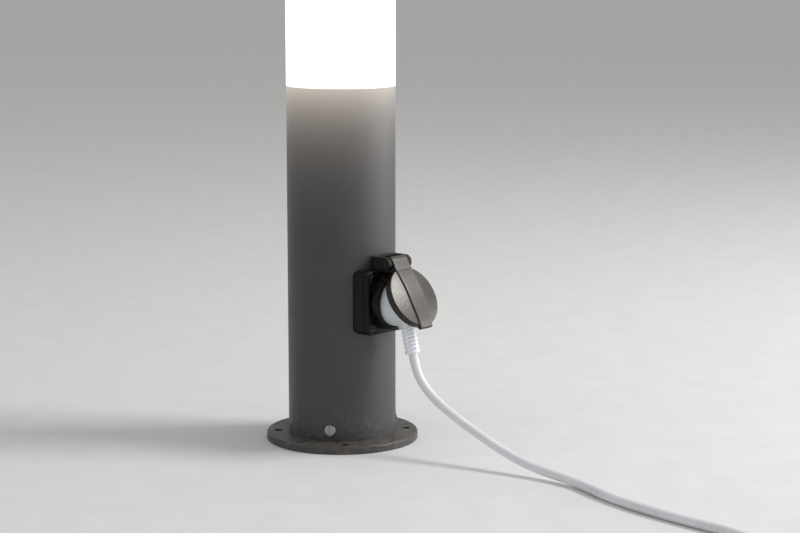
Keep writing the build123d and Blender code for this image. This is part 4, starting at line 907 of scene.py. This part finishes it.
# %% [markdown]
# ## White mouldings, sleeves and jacket
#
# The plug and coupler are hard white plastic with a soft gloss; the bend sleeves and the
# jacket are flexible vinyl, duller and faintly blue. The jacket picks up soil where it lies.

# %% Whites
# The plug's white plastic is given a light grey: painted shade for the shroud over the plug.
# The coupler shares this grey.
material, tree, shader, tones, relief = finish(
    "white_moulding", (0.66, 0.69, 0.72), 0.33, 0.03, grain_scale=700.0, depth=0.006)
dress(material, slot_nodes["white_moulding"])

material, tree, shader, tones, relief = finish(
    "white_sleeve", (0.9, 0.92, 0.96), 0.42, 0.04, grain_scale=900.0, depth=0.008)
dress(material, ["plug_bend_sleeve", "coupler_bend_sleeve", *slot_nodes["white_sleeve"]])

material, tree, shader, tones, relief = finish(
    "white_jacket", (0.78, 0.8, 0.83), 0.4, 0.04, grain_scale=600.0, depth=0.01)
soiled = add(tree, "ShaderNodeMix",
             {"Factor": math(tree, "MULTIPLY",
                             use(tree, splash, Reach=0.012, Scale=120.0)["Mask"], 0.3),
              6: tones["Colour"], 7: SOIL}, data_type="RGBA")
tree.links.new(soiled.outputs[2], shader.inputs["Base Color"])
dress(material, ["lead", *slot_nodes["white_jacket"]])

# %% [markdown]
# ## Rubber
#
# Seals, gasket, grommet and the coil's strap are matt black rubber: almost no grain, and a
# bloom that makes the surface uneven in tone.

# %% Rubber
material, tree, shader, tones, relief = finish(
    "black_rubber", (0.022, 0.022, 0.022), 0.72, 0.25, grain_scale=500.0, depth=0.015)
dress(material, ["lead_tie", *slot_nodes["black_rubber"]])

# %% [markdown]
# ## Metals
#
# The outer screws and the lid's spring are stainless steel, the inner screws and brackets
# bright zinc plate, most contacts nickel-plated brass, the earth stud bare brass and the
# head's collar cast aluminium. Each is a full metal whose roughness varies; drawn and rolled
# metal also has fine lines, so noise is stretched along one axis.

# %% Metals
def metal(name, colour, rough, stretch):
    """Metal with fine lines: noise squeezed across one axis, as bump and as roughness."""
    material, tree, shader, tones, relief = finish(
        name, colour, rough, 0.06, grain_scale=700.0, depth=0.004, Metallic=1.0)
    squeezed = add(tree, "ShaderNodeMapping", {"Vector": place(tree), "Scale": stretch})
    lines = noise(tree, squeezed.outputs[0], 500.0, 3.0, 0.6)
    rough_now = spread(tree, lines, 0.3, 0.7, rough - 0.08, rough + 0.1)
    bump = add(tree, "ShaderNodeBump", {"Height": lines, "Distance": 0.01 * MM})
    tree.links.new(rough_now, shader.inputs["Roughness"])
    tree.links.new(bump.outputs["Normal"], shader.inputs["Normal"])
    return material


dress(metal("stainless", (0.4, 0.39, 0.38), 0.42, (1.0, 1.0, 0.1)), slot_nodes["stainless"])
dress(metal("zinc_steel", (0.58, 0.6, 0.63), 0.38, (1.0, 1.0, 0.15)),
      slot_nodes["zinc_steel"])
dress(metal("brass", (0.72, 0.53, 0.24), 0.3, (1.0, 1.0, 0.1)), slot_nodes["brass"])
dress(metal("nickel_brass", (0.68, 0.66, 0.62), 0.24, (1.0, 0.1, 1.0)),
      slot_nodes["nickel_brass"])
dress(metal("cast_aluminium", (0.6, 0.6, 0.61), 0.5, (1.0, 1.0, 0.9)),
      slot_nodes["cast_aluminium"])

# %% [markdown]
# ## Dark screws
#
# The four screws that hold the socket are given a dark steel, so only a faint ring shows round
# each head, and so is the lid's hinge pin. The same metal recipe gives them a dark, oily look.

# %% Socket screws
dress(metal("dark_steel", (0.06, 0.06, 0.065), 0.36, (1.0, 1.0, 0.2)),
      ["socket_screws", "hinge_pin"])

# %% [markdown]
# ## Wires
#
# The cores inside the post follow the usual colours. Brown and blue are plain; the earth core
# is green with a yellow band, which a wave texture lays across it at a slant.

# %% Wires
for name, colour in (("brown_wire", (0.13, 0.05, 0.022)), ("blue_wire", (0.03, 0.1, 0.42))):
    dress(finish(name, colour, 0.36, 0.06, depth=0.005)[0], slot_nodes[name])
material, tree, shader, tones, relief = finish(
    "earth_wire", (0.08, 0.33, 0.04), 0.36, 0.06, depth=0.005)
bands = add(tree, "ShaderNodeTexWave", {"Vector": place(tree), "Scale": 55.0},
            bands_direction="DIAGONAL").outputs["Fac"]
striped = add(tree, "ShaderNodeMix", {"Factor": spread(tree, bands, 0.48, 0.56),
              6: tones["Colour"], 7: (0.75, 0.62, 0.03, 1.0)}, data_type="RGBA")
tree.links.new(striped.outputs[2], shader.inputs["Base Color"])
dress(material, slot_nodes["earth_wire"])

# %% [markdown]
# ## Grey moulding, ceramic and lamp body
#
# The terminal block is light grey plastic, the lamp holder glazed ceramic under a clear coat,
# and the lamp's own body glossy white.

# %% Inner parts
dress(finish("grey_moulding", (0.52, 0.52, 0.5), 0.45, 0.05, depth=0.01)[0],
      slot_nodes["grey_moulding"])
dress(finish("ceramic", (0.82, 0.81, 0.77), 0.3, 0.04, grain_scale=300.0, depth=0.01,
             Coat_Weight=0.6, Coat_Roughness=0.08)[0], slot_nodes["ceramic"])
dress(finish("lamp_white", (0.84, 0.84, 0.83), 0.28, 0.03, depth=0.004)[0],
      slot_nodes["lamp_white"])

# %% [markdown]
# ## Opal
#
# The head is opal plastic with a lamp inside. It glows evenly and white, a touch warmer at
# its two ends, where less of the lamp is behind it. Real scattering through the 3 mm wall is
# slow to compute, so the wall gives out the light itself.

# %% Opal
HEAD_MIDDLE, HEAD_HALF, HEAD_GLOW = 0.3555, 0.078, 1.25
GLOBE_MIDDLE, GLOBE_HALF, GLOBE_GLOW = 0.37, 0.05, 3.0
WARM_SHARE = 0.8


def opal(name, middle, half, strength):
    """Glowing plastic: white for most of its height and warmer beyond, by a smooth step."""
    material, tree, shader, tones, relief = finish(
        name, (0.86, 0.85, 0.82), 0.34, 0.02, depth=0.004, Emission_Strength=strength)
    level = add(tree, "ShaderNodeSeparateXYZ", {0: place(tree)}).outputs["Z"]
    off = math(tree, "ABSOLUTE", math(tree, "SUBTRACT", level, middle))
    warm = add(tree, "ShaderNodeMix",
               {"Factor": spread(tree, off, half * WARM_SHARE, half), 6: (1.0, 1.0, 1.0, 1.0),
                7: (1.0, 0.93, 0.8, 1.0)}, data_type="RGBA")
    tree.links.new(warm.outputs[2], shader.inputs["Emission Color"])
    return material


dress(opal("opal", HEAD_MIDDLE, HEAD_HALF, HEAD_GLOW), ["diffuser"])
dress(opal("opal_globe", GLOBE_MIDDLE, GLOBE_HALF, GLOBE_GLOW), ["lamp_globe"])

# %% [markdown]
# ## The head seal
#
# The thin ring between tube and head takes the frame's own plain opal, which glows evenly,
# instead of the black rubber of the other seals, so no dark line shows at the joint. Its pale
# glow is painted light, standing for the lamp's light through the ring.

# %% Seal with painted light
# Painted light: the seal's pale opal stands for the lamp shining through it.
dress(bpy.data.materials["opal"], ["head_seal"])

# %% [markdown]
# ## Floor and light
#
# A plain pale floor stands in for the studio. The world gives an even light, and two large
# lamps on the right model the form: the high one is mirrored by the lid's crowned face and
# the low one by the tube's right third. Both places are bright in the photograph. A weak lamp
# on the left fills the dark side.

# %% Stage
FLOOR_HALF = 40.0
WORLD_GREY = (0.9, 0.9, 0.9, 1)
WORLD_STRENGTH = 0.5
floor_mesh = bpy.data.meshes.new("floor")
floor_mesh.from_pydata([(-FLOOR_HALF, -FLOOR_HALF, 0), (FLOOR_HALF, -FLOOR_HALF, 0),
                        (FLOOR_HALF, FLOOR_HALF, 0), (-FLOOR_HALF, FLOOR_HALF, 0)],
                       [], [(0, 1, 2, 3)])
floor = bpy.data.objects.new("floor", floor_mesh)
bpy.context.scene.collection.objects.link(floor)
floor_mesh.materials.append(finish("pale_floor", (0.8, 0.8, 0.79), 0.7, 0.015,
                                   grain_scale=400.0, depth=0.03)[0])


def lamp(name, aim, heading, rise, distance, width, tall, power):
    """Area lamp at a distance from its aim; the heading turns from the side of the camera
    towards the right of the picture, and the rise lifts it above the level."""
    flat = -np.cos(heading) * ahead + np.sin(heading) * aside
    spot = aim + distance * (np.cos(rise) * flat + np.sin(rise) * upright)
    data = bpy.data.lights.new(name, "AREA")
    data.shape = "RECTANGLE"
    data.size = width
    data.size_y = tall
    data.energy = power
    light = bpy.data.objects.new(name, data)
    bpy.context.scene.collection.objects.link(light)
    light.location = spot
    light.rotation_euler = Vector(aim - spot).to_track_quat("-Z", "Y").to_euler()
    light.visible_camera = False
    print(name, "stands at", np.round(spot, 2))
    return light


lid_middle = np.array([0.0, -0.085, 0.125])
lamp("key_light", lid_middle, np.radians(90.0), np.radians(42.0),
     distance=2.2, width=0.7, tall=0.7, power=29.0)
lamp("rim_light", np.array([0, 0, 0.15]), np.radians(92.0), np.radians(5.0),
     distance=2.0, width=2.4, tall=0.4, power=15.0)
lamp("fill_light", np.array([0, 0, 0.2]), np.radians(-60.0), np.radians(35.0),
     distance=2.2, width=1.6, tall=1.6, power=2.0)
bpy.context.scene.view_settings.view_transform = "Standard"

world = bpy.data.worlds.new("studio")
bpy.context.scene.world = world
world.use_nodes = True
backdrop = world.node_tree.nodes["Background"]
backdrop.inputs["Color"].default_value = WORLD_GREY
backdrop.inputs["Strength"].default_value = WORLD_STRENGTH
